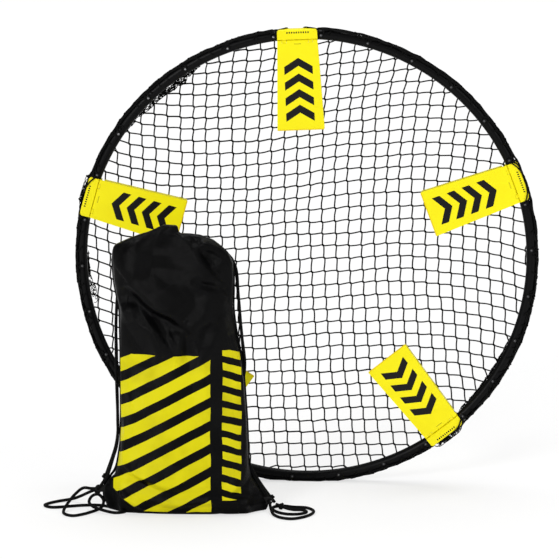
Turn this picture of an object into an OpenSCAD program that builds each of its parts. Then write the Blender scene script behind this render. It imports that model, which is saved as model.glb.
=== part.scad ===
// Roundnet set: a round net on a five-piece rim with five folding legs, and its drawstring bag.
// The ring stands on edge in the XZ plane with its legs folded against it. Front is -Y.
// Origin: on the ground, below the middle of the set. Millimetres.

/* [Rim] */
// Radius of the circle along the middle of the rim tube
rim_r = 446; // [440:1:452]
// Outer diameter of the rim tube
tube_d = 20; // [18:0.5:20]
// Wall thickness of the rim tube
tube_wall = 2; // [1.5:0.1:3]
// Turn of the first leg from the ring's right-hand side
first_leg_angle = 92.4; // [90:0.1:95]
// Height above ground of the middle of the ring
ring_z = 456; // [456:1:458]
// Distance of the ring's plane behind the origin
ring_y = 143; // [143:1:150]

/* [Legs] */
// Width of a leg where it meets the rim
leg_root_w = 79; // [76:1:80]
// Width of a leg at its foot
leg_foot_w = 93; // [84:1:96]
// Distance of the folded foot from the middle of the ring
foot_r = 257; // [250:1:280]
// Depth of the leg's tray
leg_depth = 20; // [16:1:21]
// Thickness of the leg's face and side walls
leg_wall = 2.6; // [2:0.1:3]
// Radius of the socket's long edges
socket_round = 4; // [3:0.5:5]
// Diameter of the hinge pin
pin_d = 3; // [2.5:0.1:3.2]

/* [Net] */
// Distance between the net's twines, drawn at every second real one
net_pitch = 50.8; // [50.8:0.4:70]
// Width of the net's twine
net_twine = 2.4; // [2:0.1:4]
// Thickness of the net
net_t = 2; // [1.5:0.5:2]
// Radius of the net's border
net_r = 454; // [450:1:455]
// Number of net hooks round the rim
hook_count = 30; // [20:5:30]

/* [Bag] */
// Thickness of the cloth with its soft filling
bag_wall = 5; // [4:0.5:8]
// Diameter of the drawcord
cord_d = 6; // [4:0.5:6]

/* [Hidden] */

fine = 64;
ring_fine = 180;
net_fine = 128;
knot_fine = 32;
net_turn = 3;
leg_count = 5;
leg_step = 360 / leg_count;

// Hinge and socket, in the leg's own frame: +X outwards, +Z to the front
hinge_x = 433;
hinge_z = 10;
knuckle_r = 3;
swing_gap = 0.6;
stop_relief = 0.3;
side_gap = 0.5;
socket_in = 432;
socket_out = 457;
socket_back = -12;
socket_front = hinge_z + knuckle_r;
bore_gap = 0.1;
pin_gap = 0.05;
lug_mid = 26;
lug_w = 8;
foot_corner = 1.5;
socket_corner = 5.5;
spigot_angle = 0.55;
bore_angle = 8;
bore_clear = 0.1;

// The hinge end of the leg's tray, clear of the socket and its lugs
tray_end = hinge_x - 7;
lug_root = 6;

// Ribs inside the leg's tray: how far they stand off its back, and where they are
rib_t = 2;
rib_set_back = 6;
long_ribs = [-22, 0, 22];
cross_ribs = [300, 342, 384];

// The foot is cut so that it lies flat on the ground with the leg open
open_angle = 100;
foot_wall = 6.4;

// Net hooks are buttons on the front of the rim tube, each held by a rivet through the tube's wall
hook_step = 360 / hook_count;
hooks_per_tube = hook_count / leg_count;
hook_neck_r = 2.4;
hook_neck_h = 2.3;
hook_head_r = 3.4;
hook_head_h = 1.1;
hook_seat = 9;
hook_gap = 0.05;
rivet_r = 1.2;
rivet_head_r = 1.9;
rivet_head_h = 0.8;
rivet_dome_r = (rivet_head_r * rivet_head_r + rivet_head_h * rivet_head_h) / (2 * rivet_head_h);
rivet_tail_r = 1.9;
rivet_tail_h = 0.9;
rivet_tail_gap = 0.3;
hook_top = tube_d / 2 + hook_neck_h + hook_head_h;

// The bag's cross-sections: height, left edge, right edge, half depth
bag_y = -102;
bag_sections = [
    [0, -378, -69, 46],
    [4, -383, -66, 48],
    [14, -386, -62, 52],
    [25, -389, -68, 54],
    [34, -391, -75, 55],
    [44, -391, -82, 55],
    [54, -385, -88, 55],
    [64, -378, -95, 55],
    [70, -366, -99, 55],
    [94, -360, -104, 55],
    [130, -355, -105, 55],
    [180, -353, -107, 54],
    [260, -353, -112, 52],
    [310, -353, -119, 51],
    [350, -354, -127, 49],
    [400, -356, -131, 46],
    [450, -366, -130, 41],
    [488, -369, -131, 34],
    [508, -370, -140, 28],
    [521, -366, -154, 23],
    [533, -341, -169, 18],
    [544, -313, -196, 13]
];
bag_sides = 32;
neck_sides = 20;
bag_square = 0.85;
bag_flat = 0.7;
neck_sections = [
    [544, -300, -236, 9],
    [552, -290, -235, 8.5],
    [561, -272, -240, 8]
];

// Webbing tabs at the bag's bottom corners, each with an eyelet for the cord
tab_w = 14;
tab_t = 3;
tab_left = [-397, -106, 42];
tab_right = [-64, -106, 20];
tab_reach = 22;
eyelet_r = 4.2;

// Routes of the drawcords, from the bag's neck down to their knots
cord_left_route = [
    [-346, -84, 512], [-354, -71, 476], [-359, -84, 424], [-361, -98, 370],
    [-361, -99, 260], [-359, -100, 150], [-362, -101, 124], [-368, -102, 104],
    [-374, -105, 84], [-381, -108, 64], [-388, -110, 55], [-397, -106, 43],
    [-411, -101, 40], [-427, -101, 41], [-442, -109, 31],
    [-456, -119, 15], [-463, -136, 4], [-458, -160, 3.2], [-442, -172, 3.2],
    [-422, -158, 3.2], [-404, -134, 3.2], [-390, -119, 8], [-387, -114, 20],
    [-397, -112, 31], [-409, -112, 28], [-415, -117, 18], [-408, -129, 12],
    [-391, -140, 8], [-362, -146, 3.2], [-344, -137, 3.2], [-343, -120, 3.2],
    [-360, -110, 3.2], [-398, -88, 3.2], [-430, -90, 3.2], [-490, -107, 3.2],
    [-504, -91, 3.2], [-484, -62, 3.2], [-450, -50, 7], [-408, -84, 32]
];
cord_left_short_route = [
    [-344, -76, 510], [-350, -63, 486], [-354, -66, 448], [-360, -83, 404],
    [-362, -90, 360], [-361, -91, 310], [-361, -91, 262], [-360, -91, 215],
    [-360, -91, 176], [-360, -91, 150], [-364, -90, 124], [-370, -88, 104],
    [-377, -84, 84], [-382, -80, 70]
];
cord_right_route = [
    [-150, -88, 508], [-131, -88, 482], [-124, -99, 425], [-118, -100, 352],
    [-112, -92, 288], [-118, -70, 240], [-121, -64, 185], [-113, -64, 124],
    [-101, -70, 76], [-78, -83, 38], [-67, -97, 25], [-64, -107, 20], [-61, -124, 11],
    [-54, -149, 3.2], [-39, -172, 3.2], [-18, -180, 3.2], [3, -167, 3.2],
    [19, -142, 3.2], [22, -116, 3.2], [8, -93, 3.2], [-18, -88, 3.2], [-40, -80, 3.2],
    [-56, -89, 3.2], [-57, -109, 3.2], [-46, -131, 3.2], [-27, -144, 3.2],
    [-4, -142, 3.2], [9, -127, 3.2], [1, -111, 3.2], [-17, -109, 3.2], [-33, -103, 5]
];
cord_right_short_route = [
    [-148, -80, 506], [-136, -76, 490], [-129, -84, 466], [-125, -90, 430],
    [-121, -90, 380], [-117, -90, 335], [-115, -84, 296], [-117, -72, 264],
    [-127, -61, 236], [-132, -59, 200], [-129, -58, 160], [-119, -57, 122],
    [-105, -56, 80], [-91, -60, 56], [-79, -66, 39], [-68.5, -74.5, 27]
];

// Knots at the ends of the cords
knot_left = [-400, -92, 34];
knot_left_short = [-386, -74, 58];
knot_right = [-41, -99, 7.2];
knot_right_short = [-61.5, -80, 19.5];
knot_r = 7;

// ---- placing ----

module on_ring() {
    translate([0, ring_y, ring_z]) rotate([90, 0, 0]) children();
}

module at_leg(i) {
    on_ring() rotate([0, 0, first_leg_angle + (i - 1) * leg_step]) children();
}

// ---- shapes ----

function side_pow(v, p) = sign(v) * pow(abs(v), p);

// One ring of points of a soft section [z, left, right, half depth], drawn in by inset
function soft_ring(s, y, sides, inset) =
    let (half_w = (s[2] - s[1]) / 2 - inset, half_d = max(s[3] - inset, 2))
    [for (k = [0 : sides - 1])
        let (a = 360 * k / sides)
        [(s[1] + s[2]) / 2 + half_w * side_pow(cos(a), bag_square),
         y + half_d * side_pow(sin(a), bag_flat),
         s[0]]];

// Skin between rings that have the same number of points, as triangles, with flat caps
module skin(rings) {
    n = len(rings[0]);
    m = len(rings);
    points = [for (ring = rings) for (p = ring) p];
    sides = [for (j = [0 : m - 2]) for (k = [0 : n - 1])
        let (a = j * n + k, b = j * n + (k + 1) % n)
        each [[a, a + n, b], [b, a + n, b + n]]];
    low = [for (k = [1 : n - 2]) [0, k, k + 1]];
    high = [for (k = [1 : n - 2]) [(m - 1) * n, (m - 1) * n + k + 1, (m - 1) * n + k]];
    polyhedron(points = points, faces = concat(sides, low, high));
}

function unit(v) = v / norm(v);
function heading(route, i) =
    unit(route[min(i + 1, len(route) - 1)] - route[max(i - 1, 0)]);
function square_to(v, t) = unit(v - (v * t) * t);

// Round tube along the points of a route, carrying its frame along without twist
module cord_tube(route, d, sides = 8) {
    last = len(route) - 1;
    frames = [for (i = 0, t = heading(route, 0), v = square_to([0, 1, 0.1], t);
        i <= last;
        i = i + 1, t = i <= last ? heading(route, i) : t, v = i <= last ? square_to(v, t) : v)
        [t, v]];
    skin([for (i = [0 : last])
        let (t = frames[i][0], v = frames[i][1], w = cross(t, v))
        [for (k = [0 : sides - 1])
            route[i] + d / 2 * (cos(360 * k / sides) * w + sin(360 * k / sides) * v)]]);
}

module rounded_bar(x0, x1, z0, z1, r, len_y) {
    rotate([90, 0, 0]) linear_extrude(height = len_y, center = true) union() {
        translate([x0 + r, z0]) square([x1 - x0 - 2 * r, z1 - z0]);
        translate([x0, z0 + r]) square([x1 - x0, z1 - z0 - 2 * r]);
        for (x = [x0 + r, x1 - r]) for (z = [z0 + r, z1 - r])
            translate([x, z]) circle(r = r, $fn = fine);
    }
}

module rod_y(x, z, r, y0, y1) {
    translate([x, y1, z]) rotate([90, 0, 0]) cylinder(r = r, h = y1 - y0, $fn = fine);
}

// ---- rim ----

module at_hook(k) {
    rotate([0, 0, first_leg_angle + (k + 0.5) * hook_step]) translate([rim_r, 0, 0]) children();
}

module rim_tube(i) {
    reach = leg_step / 2 - spigot_angle;
    color([0.06, 0.06, 0.065])
    on_ring() difference() {
        rotate([0, 0, first_leg_angle + (i - 0.5) * leg_step - reach])
            rotate_extrude(angle = 2 * reach, $fn = ring_fine) translate([rim_r, 0]) difference() {
                circle(d = tube_d, $fn = fine);
                circle(d = tube_d - 2 * tube_wall, $fn = fine);
            }
        for (k = [0 : hooks_per_tube - 1])
            at_hook((i - 1) * hooks_per_tube + k)
                cylinder(r = rivet_r + hook_gap, h = tube_d, $fn = fine);
    }
}

module socket_plan() {
    half = leg_root_w / 2;
    translate([0, 0, socket_back - 1]) linear_extrude(height = socket_front - socket_back + 2) union() {
        translate([socket_in - 1, -half]) square([socket_out - socket_corner - socket_in + 1, 2 * half]);
        translate([socket_in, socket_corner - half])
            square([socket_out - socket_in, 2 * (half - socket_corner)]);
        for (s = [-1, 1])
            translate([socket_out - socket_corner, s * (half - socket_corner)])
                circle(r = socket_corner, $fn = fine);
    }
}

module leg_socket(i) {
    color([0.96, 0.93, 0.05])
    at_leg(i) difference() {
        union() {
            difference() {
                intersection() {
                    rounded_bar(socket_in, socket_out, socket_back, socket_front, socket_round, leg_root_w);
                    socket_plan();
                }
                rod_y(hinge_x, hinge_z, knuckle_r + swing_gap, -leg_root_w, leg_root_w);
                translate([socket_in - 1, -leg_root_w, hinge_z - knuckle_r - swing_gap])
                    cube([hinge_x - socket_in + 1, 2 * leg_root_w, leg_depth]);
                translate([hinge_x, -leg_root_w, hinge_z]) rotate([0, open_angle - 90, 0])
                    cube([knuckle_r + swing_gap + stop_relief, 2 * leg_root_w, leg_depth]);
            }
            for (s = [-1, 1]) translate([0, s * lug_mid, 0]) {
                rod_y(hinge_x, hinge_z, knuckle_r, -lug_w / 2, lug_w / 2);
                translate([hinge_x, -lug_w / 2, hinge_z - knuckle_r])
                    cube([lug_root, lug_w, knuckle_r]);
            }
        }
        for (s = [-1, 1]) rotate([0, 0, s > 0 ? spigot_angle - bore_clear : -bore_angle])
            rotate_extrude(angle = bore_angle - spigot_angle + bore_clear, $fn = ring_fine)
                translate([rim_r, 0]) circle(r = tube_d / 2 + bore_gap, $fn = fine);
        rod_y(hinge_x, hinge_z, pin_d / 2 + pin_gap, -leg_root_w, leg_root_w);
    }
}

module leg_outline(inset) {
    root = leg_root_w / 2 - inset;
    foot = leg_foot_w / 2 - inset;
    c = max(foot_corner - inset, 0.5);
    end = foot_r + inset;
    polygon([[hinge_x, -root], [hinge_x, root], [end + c, foot], [end, foot - c], [end, c - foot],
        [end + c, -foot]]);
}

module leg_panel(i) {
    floor_z = socket_front - leg_wall;
    back_z = socket_front - leg_depth;
    color([0.97, 0.94, 0.08])
    at_leg(i) difference() {
        union() {
            translate([0, 0, floor_z]) linear_extrude(height = leg_wall) leg_outline(0);
            difference() {
                translate([0, 0, back_z]) linear_extrude(height = leg_depth - 1)
                    intersection() {
                        leg_outline(0);
                        translate([foot_r - 1, -leg_foot_w]) square([tray_end - foot_r + 1, 2 * leg_foot_w]);
                    }
                translate([0, 0, back_z - 1]) linear_extrude(height = leg_depth + 2)
                    intersection() {
                        leg_outline(leg_wall);
                        translate([foot_r + foot_wall, -leg_foot_w])
                            square([tray_end - leg_wall - foot_r - foot_wall, 2 * leg_foot_w]);
                    }
            }
            for (y = long_ribs) translate([foot_r + 1, y - rib_t / 2, back_z + rib_set_back])
                cube([tray_end - foot_r - 2, rib_t, leg_depth - rib_set_back - 1]);
            for (x = cross_ribs) translate([x, -leg_root_w / 2 + 1, back_z + rib_set_back])
                cube([rib_t, leg_root_w - 2, leg_depth - rib_set_back - 1]);
            rod_y(hinge_x, hinge_z, knuckle_r, -leg_root_w / 2, leg_root_w / 2);
        }
        for (s = [-1, 1]) translate([0, s * lug_mid, 0])
            rod_y(hinge_x, hinge_z, knuckle_r + swing_gap, -lug_w / 2 - side_gap, lug_w / 2 + side_gap);
        rod_y(hinge_x, hinge_z, pin_d / 2 + pin_gap, -leg_root_w, leg_root_w);
        translate([foot_r, -leg_foot_w, socket_front]) rotate([0, 90 - open_angle, 0])
            translate([-leg_depth, 0, -2 * leg_depth])
                cube([leg_depth, 2 * leg_foot_w, 3 * leg_depth]);
    }
}

module hinge_pin(i) {
    color([0.72, 0.73, 0.75])
    at_leg(i) rod_y(hinge_x, hinge_z, pin_d / 2, -leg_root_w / 2 + 0.5, leg_root_w / 2 - 0.5);
}

module net_hooks() {
    color([0.08, 0.08, 0.085])
    on_ring() difference() {
        for (k = [0 : hook_count - 1]) at_hook(k) {
            translate([0, 0, hook_seat]) cylinder(r = hook_neck_r, h = hook_top - hook_seat, $fn = fine);
            translate([0, 0, hook_top - hook_head_h]) cylinder(r = hook_head_r, h = hook_head_h, $fn = fine);
        }
        rotate_extrude($fn = ring_fine) translate([rim_r, 0]) circle(r = tube_d / 2 + hook_gap, $fn = fine);
        for (k = [0 : hook_count - 1])
            at_hook(k) cylinder(r = rivet_r + hook_gap, h = 2 * tube_d, $fn = fine);
    }
}

module hook_rivets() {
    tail_z = tube_d / 2 - tube_wall - rivet_tail_h - rivet_tail_gap;
    color([0.8, 0.81, 0.82])
    on_ring() for (k = [0 : hook_count - 1]) at_hook(k) {
        translate([0, 0, tail_z]) cylinder(r = rivet_tail_r, h = rivet_tail_h, $fn = fine);
        translate([0, 0, tail_z]) cylinder(r = rivet_r, h = hook_top + hook_gap - tail_z, $fn = fine);
        translate([0, 0, hook_top + hook_gap]) intersection() {
            cylinder(r = rivet_head_r, h = rivet_head_h, $fn = fine);
            translate([0, 0, rivet_head_h - rivet_dome_r]) sphere(r = rivet_dome_r, $fn = fine);
        }
    }
}

// ---- net ----

module net() {
    half = floor(net_r / net_pitch);
    color([0.1, 0.1, 0.1])
    on_ring() translate([0, 0, socket_back - net_t]) linear_extrude(height = net_t) {
        difference() {
            circle(r = net_r, $fn = net_fine);
            circle(r = net_r - 2 * net_twine, $fn = net_fine);
        }
        rotate(net_turn) intersection() {
            circle(r = net_r - net_twine, $fn = net_fine);
            union() for (k = [-half : half]) {
                translate([-net_r, k * net_pitch - net_twine / 2]) square([2 * net_r, net_twine]);
                translate([k * net_pitch - net_twine / 2, -net_r]) square([net_twine, 2 * net_r]);
            }
        }
    }
}

// ---- bag ----

module bag_body() {
    last = len(bag_sections) - 1;
    color([0.05, 0.05, 0.055]) difference() {
        skin([for (s = bag_sections) soft_ring(s, bag_y, bag_sides, 0)]);
        skin([for (j = [0 : last])
            let (s = bag_sections[j], z = j == 0 ? bag_wall : j == last ? s[0] - bag_wall : s[0])
            soft_ring([z, s[1], s[2], s[3]], bag_y, bag_sides, bag_wall)]);
    }
}

module bag_neck() {
    color([0.05, 0.05, 0.055])
    skin([for (s = neck_sections) soft_ring(s, bag_y, neck_sides, 0)]);
}

module cord_tab(p, side) {
    color([0.07, 0.07, 0.075]) translate(p) rotate([90, 0, 0]) difference() {
        union() {
            translate([0, 0, -tab_t / 2]) cylinder(d = tab_w, h = tab_t, $fn = fine);
            translate([side > 0 ? -tab_reach : 0, -tab_w / 2, -tab_t / 2]) cube([tab_reach, tab_w, tab_t]);
        }
        translate([0, 0, -tab_t]) cylinder(r = eyelet_r, h = 2 * tab_t, $fn = fine);
    }
}

module cord_knot(p) {
    color([0.04, 0.04, 0.045]) translate(p) sphere(r = knot_r, $fn = knot_fine);
}

module drawcord(route) {
    color([0.04, 0.04, 0.045]) cord_tube(route, cord_d);
}

rim_tube(1);  // rim_tube_1
rim_tube(2);  // rim_tube_2
rim_tube(3);  // rim_tube_3
rim_tube(4);  // rim_tube_4
rim_tube(5);  // rim_tube_5
leg_socket(1);  // leg_socket_1
leg_socket(2);  // leg_socket_2
leg_socket(3);  // leg_socket_3
leg_socket(4);  // leg_socket_4
leg_socket(5);  // leg_socket_5
leg_panel(1);  // leg_panel_1
leg_panel(2);  // leg_panel_2
leg_panel(3);  // leg_panel_3
leg_panel(4);  // leg_panel_4
leg_panel(5);  // leg_panel_5
hinge_pin(1);  // hinge_pin_1
hinge_pin(2);  // hinge_pin_2
hinge_pin(3);  // hinge_pin_3
hinge_pin(4);  // hinge_pin_4
hinge_pin(5);  // hinge_pin_5
net();
net_hooks();
hook_rivets();
bag_body();
bag_neck();
cord_tab(tab_left, -1);  // cord_tab_left
cord_tab(tab_right, 1);  // cord_tab_right
drawcord(cord_left_route);  // drawcord_left
drawcord(cord_left_short_route);  // drawcord_left_short
drawcord(cord_right_route);  // drawcord_right
drawcord(cord_right_short_route);  // drawcord_right_short
cord_knot(knot_left);  // cord_knot_left
cord_knot(knot_left_short);  // cord_knot_left_short
cord_knot(knot_right);  // cord_knot_right
cord_knot(knot_right_short);  // cord_knot_right_short
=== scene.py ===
import math
import random

import bpy
import numpy as np
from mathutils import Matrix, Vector, noise


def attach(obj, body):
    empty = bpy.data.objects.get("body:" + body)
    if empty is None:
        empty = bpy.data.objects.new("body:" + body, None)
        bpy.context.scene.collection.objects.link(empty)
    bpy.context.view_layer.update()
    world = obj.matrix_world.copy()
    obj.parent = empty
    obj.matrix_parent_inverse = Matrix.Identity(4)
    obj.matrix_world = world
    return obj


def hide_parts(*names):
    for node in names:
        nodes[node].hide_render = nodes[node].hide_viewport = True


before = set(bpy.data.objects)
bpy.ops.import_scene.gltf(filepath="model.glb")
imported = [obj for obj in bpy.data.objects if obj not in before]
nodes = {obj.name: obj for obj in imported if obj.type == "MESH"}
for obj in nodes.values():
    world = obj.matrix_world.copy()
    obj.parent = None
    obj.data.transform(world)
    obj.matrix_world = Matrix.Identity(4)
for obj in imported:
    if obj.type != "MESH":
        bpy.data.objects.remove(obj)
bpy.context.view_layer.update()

print("frame loaded:", len(nodes), "nodes")

cameraView = {
    "lens": 257.6,                      # mm, a long lens from far away
    "sensor": 36.0,
    "place": (0.2393, -7.661, 1.9283),
    "lookDown": 11.0,                   # degrees below level
    "turn": 2.15,                       # degrees to the left of straight ahead
    "farClip": 60.0,
}


def makeCamera(view):
    data = bpy.data.cameras.new("camera")
    data.lens = view["lens"]
    data.sensor_width = view["sensor"]
    data.clip_end = view["farClip"]
    camera = bpy.data.objects.new("camera", data)
    camera.location = view["place"]
    camera.rotation_euler = (math.radians(90 - view["lookDown"]), 0, math.radians(view["turn"]))
    bpy.context.scene.collection.objects.link(camera)
    bpy.context.scene.camera = camera


makeCamera(cameraView)

# The ring, in metres and degrees
ring = {
    "height": 0.456,      # of the ring's axis above the ground
    "depth": 0.143,       # of the ring's plane behind the origin
    "radius": 0.446,      # to the middle of the rim tube
    "tube": 0.010,        # outer radius of the rim tube
    "wall": 0.002,
    "legs": 5,
    "firstLeg": 92.4,     # degrees from the ring's right-hand side
    "spigot": 0.55,       # degrees between a leg's middle and a tube's end
    "hooks": 30,
}
legStep = 360 / ring["legs"]
hookStep = 360 / ring["hooks"]


def onRing(angle, radius, front):
    # angle in degrees, radius from the ring's axis, front is the distance in front of its plane
    a = math.radians(angle)
    return Vector((radius * math.cos(a), ring["depth"] - front, ring["height"] + radius * math.sin(a)))


def legAngle(leg):
    return ring["firstLeg"] + (leg - 1) * legStep


def hookAngle(k):
    return ring["firstLeg"] + (k + 0.5) * hookStep


def addObject(name, points, faces, smooth=True, uvs=None):
    mesh = bpy.data.meshes.new(name)
    mesh.from_pydata([tuple(p) for p in points], [], [tuple(int(k) for k in f) for f in faces])
    if uvs is not None:
        layer = mesh.uv_layers.new(name="lay")
        corners = np.zeros(len(mesh.loops), np.int32)
        mesh.loops.foreach_get("vertex_index", corners)
        layer.data.foreach_set("uv", np.asarray(uvs, np.float32)[corners].ravel())
    mesh.polygons.foreach_set("use_smooth", [smooth] * len(mesh.polygons))
    mesh.update()
    piece = bpy.data.objects.new(name, mesh)
    bpy.context.scene.collection.objects.link(piece)
    return piece


def smoothRoute(points, step):
    # Points every step along a smooth curve through the given points
    pts = [np.array(p, float) for p in points]
    pts = [2 * pts[0] - pts[1]] + pts + [2 * pts[-1] - pts[-2]]
    line = []
    for k in range(1, len(pts) - 2):
        a, b, c, d = pts[k - 1:k + 3]
        ta = 0.0
        tb = ta + math.sqrt(max(np.linalg.norm(b - a), 1e-6))
        tc = tb + math.sqrt(max(np.linalg.norm(c - b), 1e-6))
        td = tc + math.sqrt(max(np.linalg.norm(d - c), 1e-6))
        count = max(2, int(np.linalg.norm(c - b) / step) + 1)
        for t in np.linspace(tb, tc, count, endpoint=False):
            ab = (tb - t) / (tb - ta) * a + (t - ta) / (tb - ta) * b
            bc = (tc - t) / (tc - tb) * b + (t - tb) / (tc - tb) * c
            cd = (td - t) / (td - tc) * c + (t - tc) / (td - tc) * d
            abc = (tc - t) / (tc - ta) * ab + (t - ta) / (tc - ta) * bc
            bcd = (td - t) / (td - tb) * bc + (t - tb) / (td - tb) * cd
            line.append((tc - t) / (tc - tb) * abc + (t - tb) / (tc - tb) * bcd)
    line.append(pts[-2])
    return np.array(line)


def tubeRings(line, radii, sides):
    # Rings of points round a line, with a frame that is carried along without twist
    line = np.asarray(line, float)
    heading = np.gradient(line, axis=0)
    heading /= np.linalg.norm(heading, axis=1)[:, None] + 1e-12
    side = np.cross(heading[0], (0.13, 0.97, 0.21))
    side /= np.linalg.norm(side)
    turns = np.arange(sides) * 2 * math.pi / sides
    rings = []
    for p, h, r in zip(line, heading, radii):
        side = side - h * (side @ h)
        side /= np.linalg.norm(side) + 1e-12
        other = np.cross(h, side)
        rings.append(p + r * (np.cos(turns)[:, None] * side + np.sin(turns)[:, None] * other))
    return np.array(rings)


def tubeParts(lines, radius, sides):
    # Points, faces and lay coordinates (round, along in metres) of tubes along several lines
    points, faces, uvs = [], [], []
    start = 0
    for entry in lines:
        line, radii = entry if isinstance(entry, tuple) else (entry, None)
        line = np.asarray(line, float)
        radii = np.full(len(line), radius) if radii is None else np.asarray(radii, float)
        rings = tubeRings(line, radii, sides)
        along = np.concatenate([[0], np.cumsum(np.linalg.norm(np.diff(line, axis=0), axis=1))])
        count = len(line)
        points.append(rings.reshape(-1, 3))
        uvs.append(np.stack([np.tile(np.arange(sides) / sides, count), np.repeat(along, sides)], 1))
        k = np.arange(sides)
        for j in range(count - 1):
            a = start + j * sides
            faces.extend(np.stack([a + k, a + (k + 1) % sides, a + sides + (k + 1) % sides,
                                   a + sides + k], 1))
        faces.append(start + np.arange(sides)[::-1])
        faces.append(start + (count - 1) * sides + np.arange(sides))
        start += count * sides
    return np.concatenate(points), faces, np.concatenate(uvs)


cord = {
    "radius": 0.0030,
    "step": 0.003,
    "sides": 14,
    "floorGap": 0.0001,
    "tail": 0.012,        # beyond the knot
}

# Each route runs from the bag's neck down to the knot, in metres
cordRoutes = {
    "drawcord_left": [
        (-0.346, -0.084, 0.512), (-0.354, -0.071, 0.476), (-0.359, -0.084, 0.424),
        (-0.361, -0.098, 0.370), (-0.361, -0.099, 0.260), (-0.359, -0.100, 0.150),
        (-0.362, -0.101, 0.124), (-0.368, -0.102, 0.104), (-0.374, -0.105, 0.084),
        (-0.381, -0.108, 0.064), (-0.388, -0.110, 0.055), (-0.397, -0.106, 0.043),
        (-0.411, -0.101, 0.040), (-0.427, -0.101, 0.041), (-0.442, -0.109, 0.031),
        (-0.456, -0.119, 0.015), (-0.463, -0.136, 0.004), (-0.458, -0.16, 0.0032),
        (-0.442, -0.172, 0.0032), (-0.422, -0.158, 0.0032), (-0.404, -0.134, 0.0032),
        (-0.39, -0.119, 0.008), (-0.387, -0.114, 0.020), (-0.397, -0.112, 0.031),
        (-0.409, -0.112, 0.028), (-0.415, -0.117, 0.018), (-0.408, -0.129, 0.012),
        (-0.391, -0.14, 0.008), (-0.362, -0.146, 0.0032), (-0.344, -0.137, 0.0032),
        (-0.343, -0.12, 0.0032), (-0.36, -0.11, 0.0032), (-0.398, -0.088, 0.0032),
        (-0.43, -0.09, 0.0032), (-0.49, -0.107, 0.0032), (-0.504, -0.091, 0.0032),
        (-0.484, -0.062, 0.0032), (-0.45, -0.05, 0.007), (-0.408, -0.084, 0.032),
    ],
    "drawcord_left_short": [
        (-0.344, -0.076, 0.510), (-0.35, -0.063, 0.486), (-0.354, -0.066, 0.448),
        (-0.36, -0.083, 0.404), (-0.362, -0.09, 0.360), (-0.361, -0.091, 0.310),
        (-0.361, -0.091, 0.262), (-0.36, -0.091, 0.215), (-0.36, -0.091, 0.176),
        (-0.36, -0.091, 0.150), (-0.364, -0.090, 0.124), (-0.370, -0.088, 0.104),
        (-0.377, -0.084, 0.084), (-0.382, -0.080, 0.070),
    ],
    "drawcord_right": [
        (-0.15, -0.088, 0.508), (-0.131, -0.088, 0.482), (-0.124, -0.099, 0.425),
        (-0.118, -0.10, 0.352), (-0.112, -0.092, 0.288), (-0.118, -0.07, 0.240),
        (-0.121, -0.064, 0.185), (-0.113, -0.064, 0.124), (-0.101, -0.070, 0.076),
        (-0.078, -0.083, 0.038), (-0.067, -0.097, 0.025), (-0.064, -0.107, 0.020),
        (-0.061, -0.124, 0.011), (-0.054, -0.149, 0.0032), (-0.039, -0.172, 0.0032),
        (-0.018, -0.18, 0.0032), (0.003, -0.167, 0.0032), (0.019, -0.142, 0.0032),
        (0.022, -0.116, 0.0032), (0.008, -0.093, 0.0032), (-0.018, -0.088, 0.0032),
        (-0.04, -0.08, 0.0032), (-0.056, -0.089, 0.0032), (-0.057, -0.109, 0.0032),
        (-0.046, -0.131, 0.0032), (-0.027, -0.144, 0.0032), (-0.004, -0.142, 0.0032),
        (0.009, -0.127, 0.0032), (0.001, -0.111, 0.0032), (-0.017, -0.109, 0.0032),
        (-0.033, -0.103, 0.005),
    ],
    "drawcord_right_short": [
        (-0.148, -0.08, 0.506), (-0.136, -0.076, 0.490), (-0.129, -0.084, 0.466),
        (-0.125, -0.09, 0.430), (-0.121, -0.09, 0.380), (-0.117, -0.09, 0.335),
        (-0.115, -0.084, 0.296), (-0.117, -0.072, 0.264), (-0.127, -0.061, 0.236),
        (-0.132, -0.059, 0.200), (-0.129, -0.058, 0.160), (-0.119, -0.057, 0.122),
        (-0.105, -0.056, 0.080), (-0.091, -0.060, 0.056), (-0.079, -0.066, 0.039),
        (-0.0685, -0.0745, 0.027),
    ],
}
knotPlaces = {
    "cord_knot_left": (-0.40, -0.092, 0.034),
    "cord_knot_left_short": (-0.386, -0.074, 0.058),
    "cord_knot_right": (-0.041, -0.099, 0.0072),
    "cord_knot_right_short": (-0.0615, -0.080, 0.0195),
}


def makeCord(name, route, place):
    # the cord runs on through its knot and ends in a short tail
    knot = np.array(place)
    ahead = knot - np.array(route[-1])
    tail = knot + ahead / np.linalg.norm(ahead) * cord["tail"]
    line = smoothRoute(list(route) + [tuple(knot), tuple(tail)], cord["step"])
    line[:, 2] = np.maximum(line[:, 2], cord["radius"] + cord["floorGap"])
    points, faces, uvs = tubeParts([line], cord["radius"], cord["sides"])
    piece = addObject(name + "_braid", points, faces, uvs=uvs)
    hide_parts(name)
    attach(piece, "bag")
    length = float(np.linalg.norm(np.diff(line, axis=0), axis=1).sum())
    return piece, line, length


cordKnot = {
    "size": 0.0042 / 2.2,
    "lobes": 0.62,          # how far the three lobes swing out
    "rise": 0.9,
    "strand": 0.0026,       # radius of the cord where it is pulled tight
    "points": 73,
    "sides": 10,
}


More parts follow.
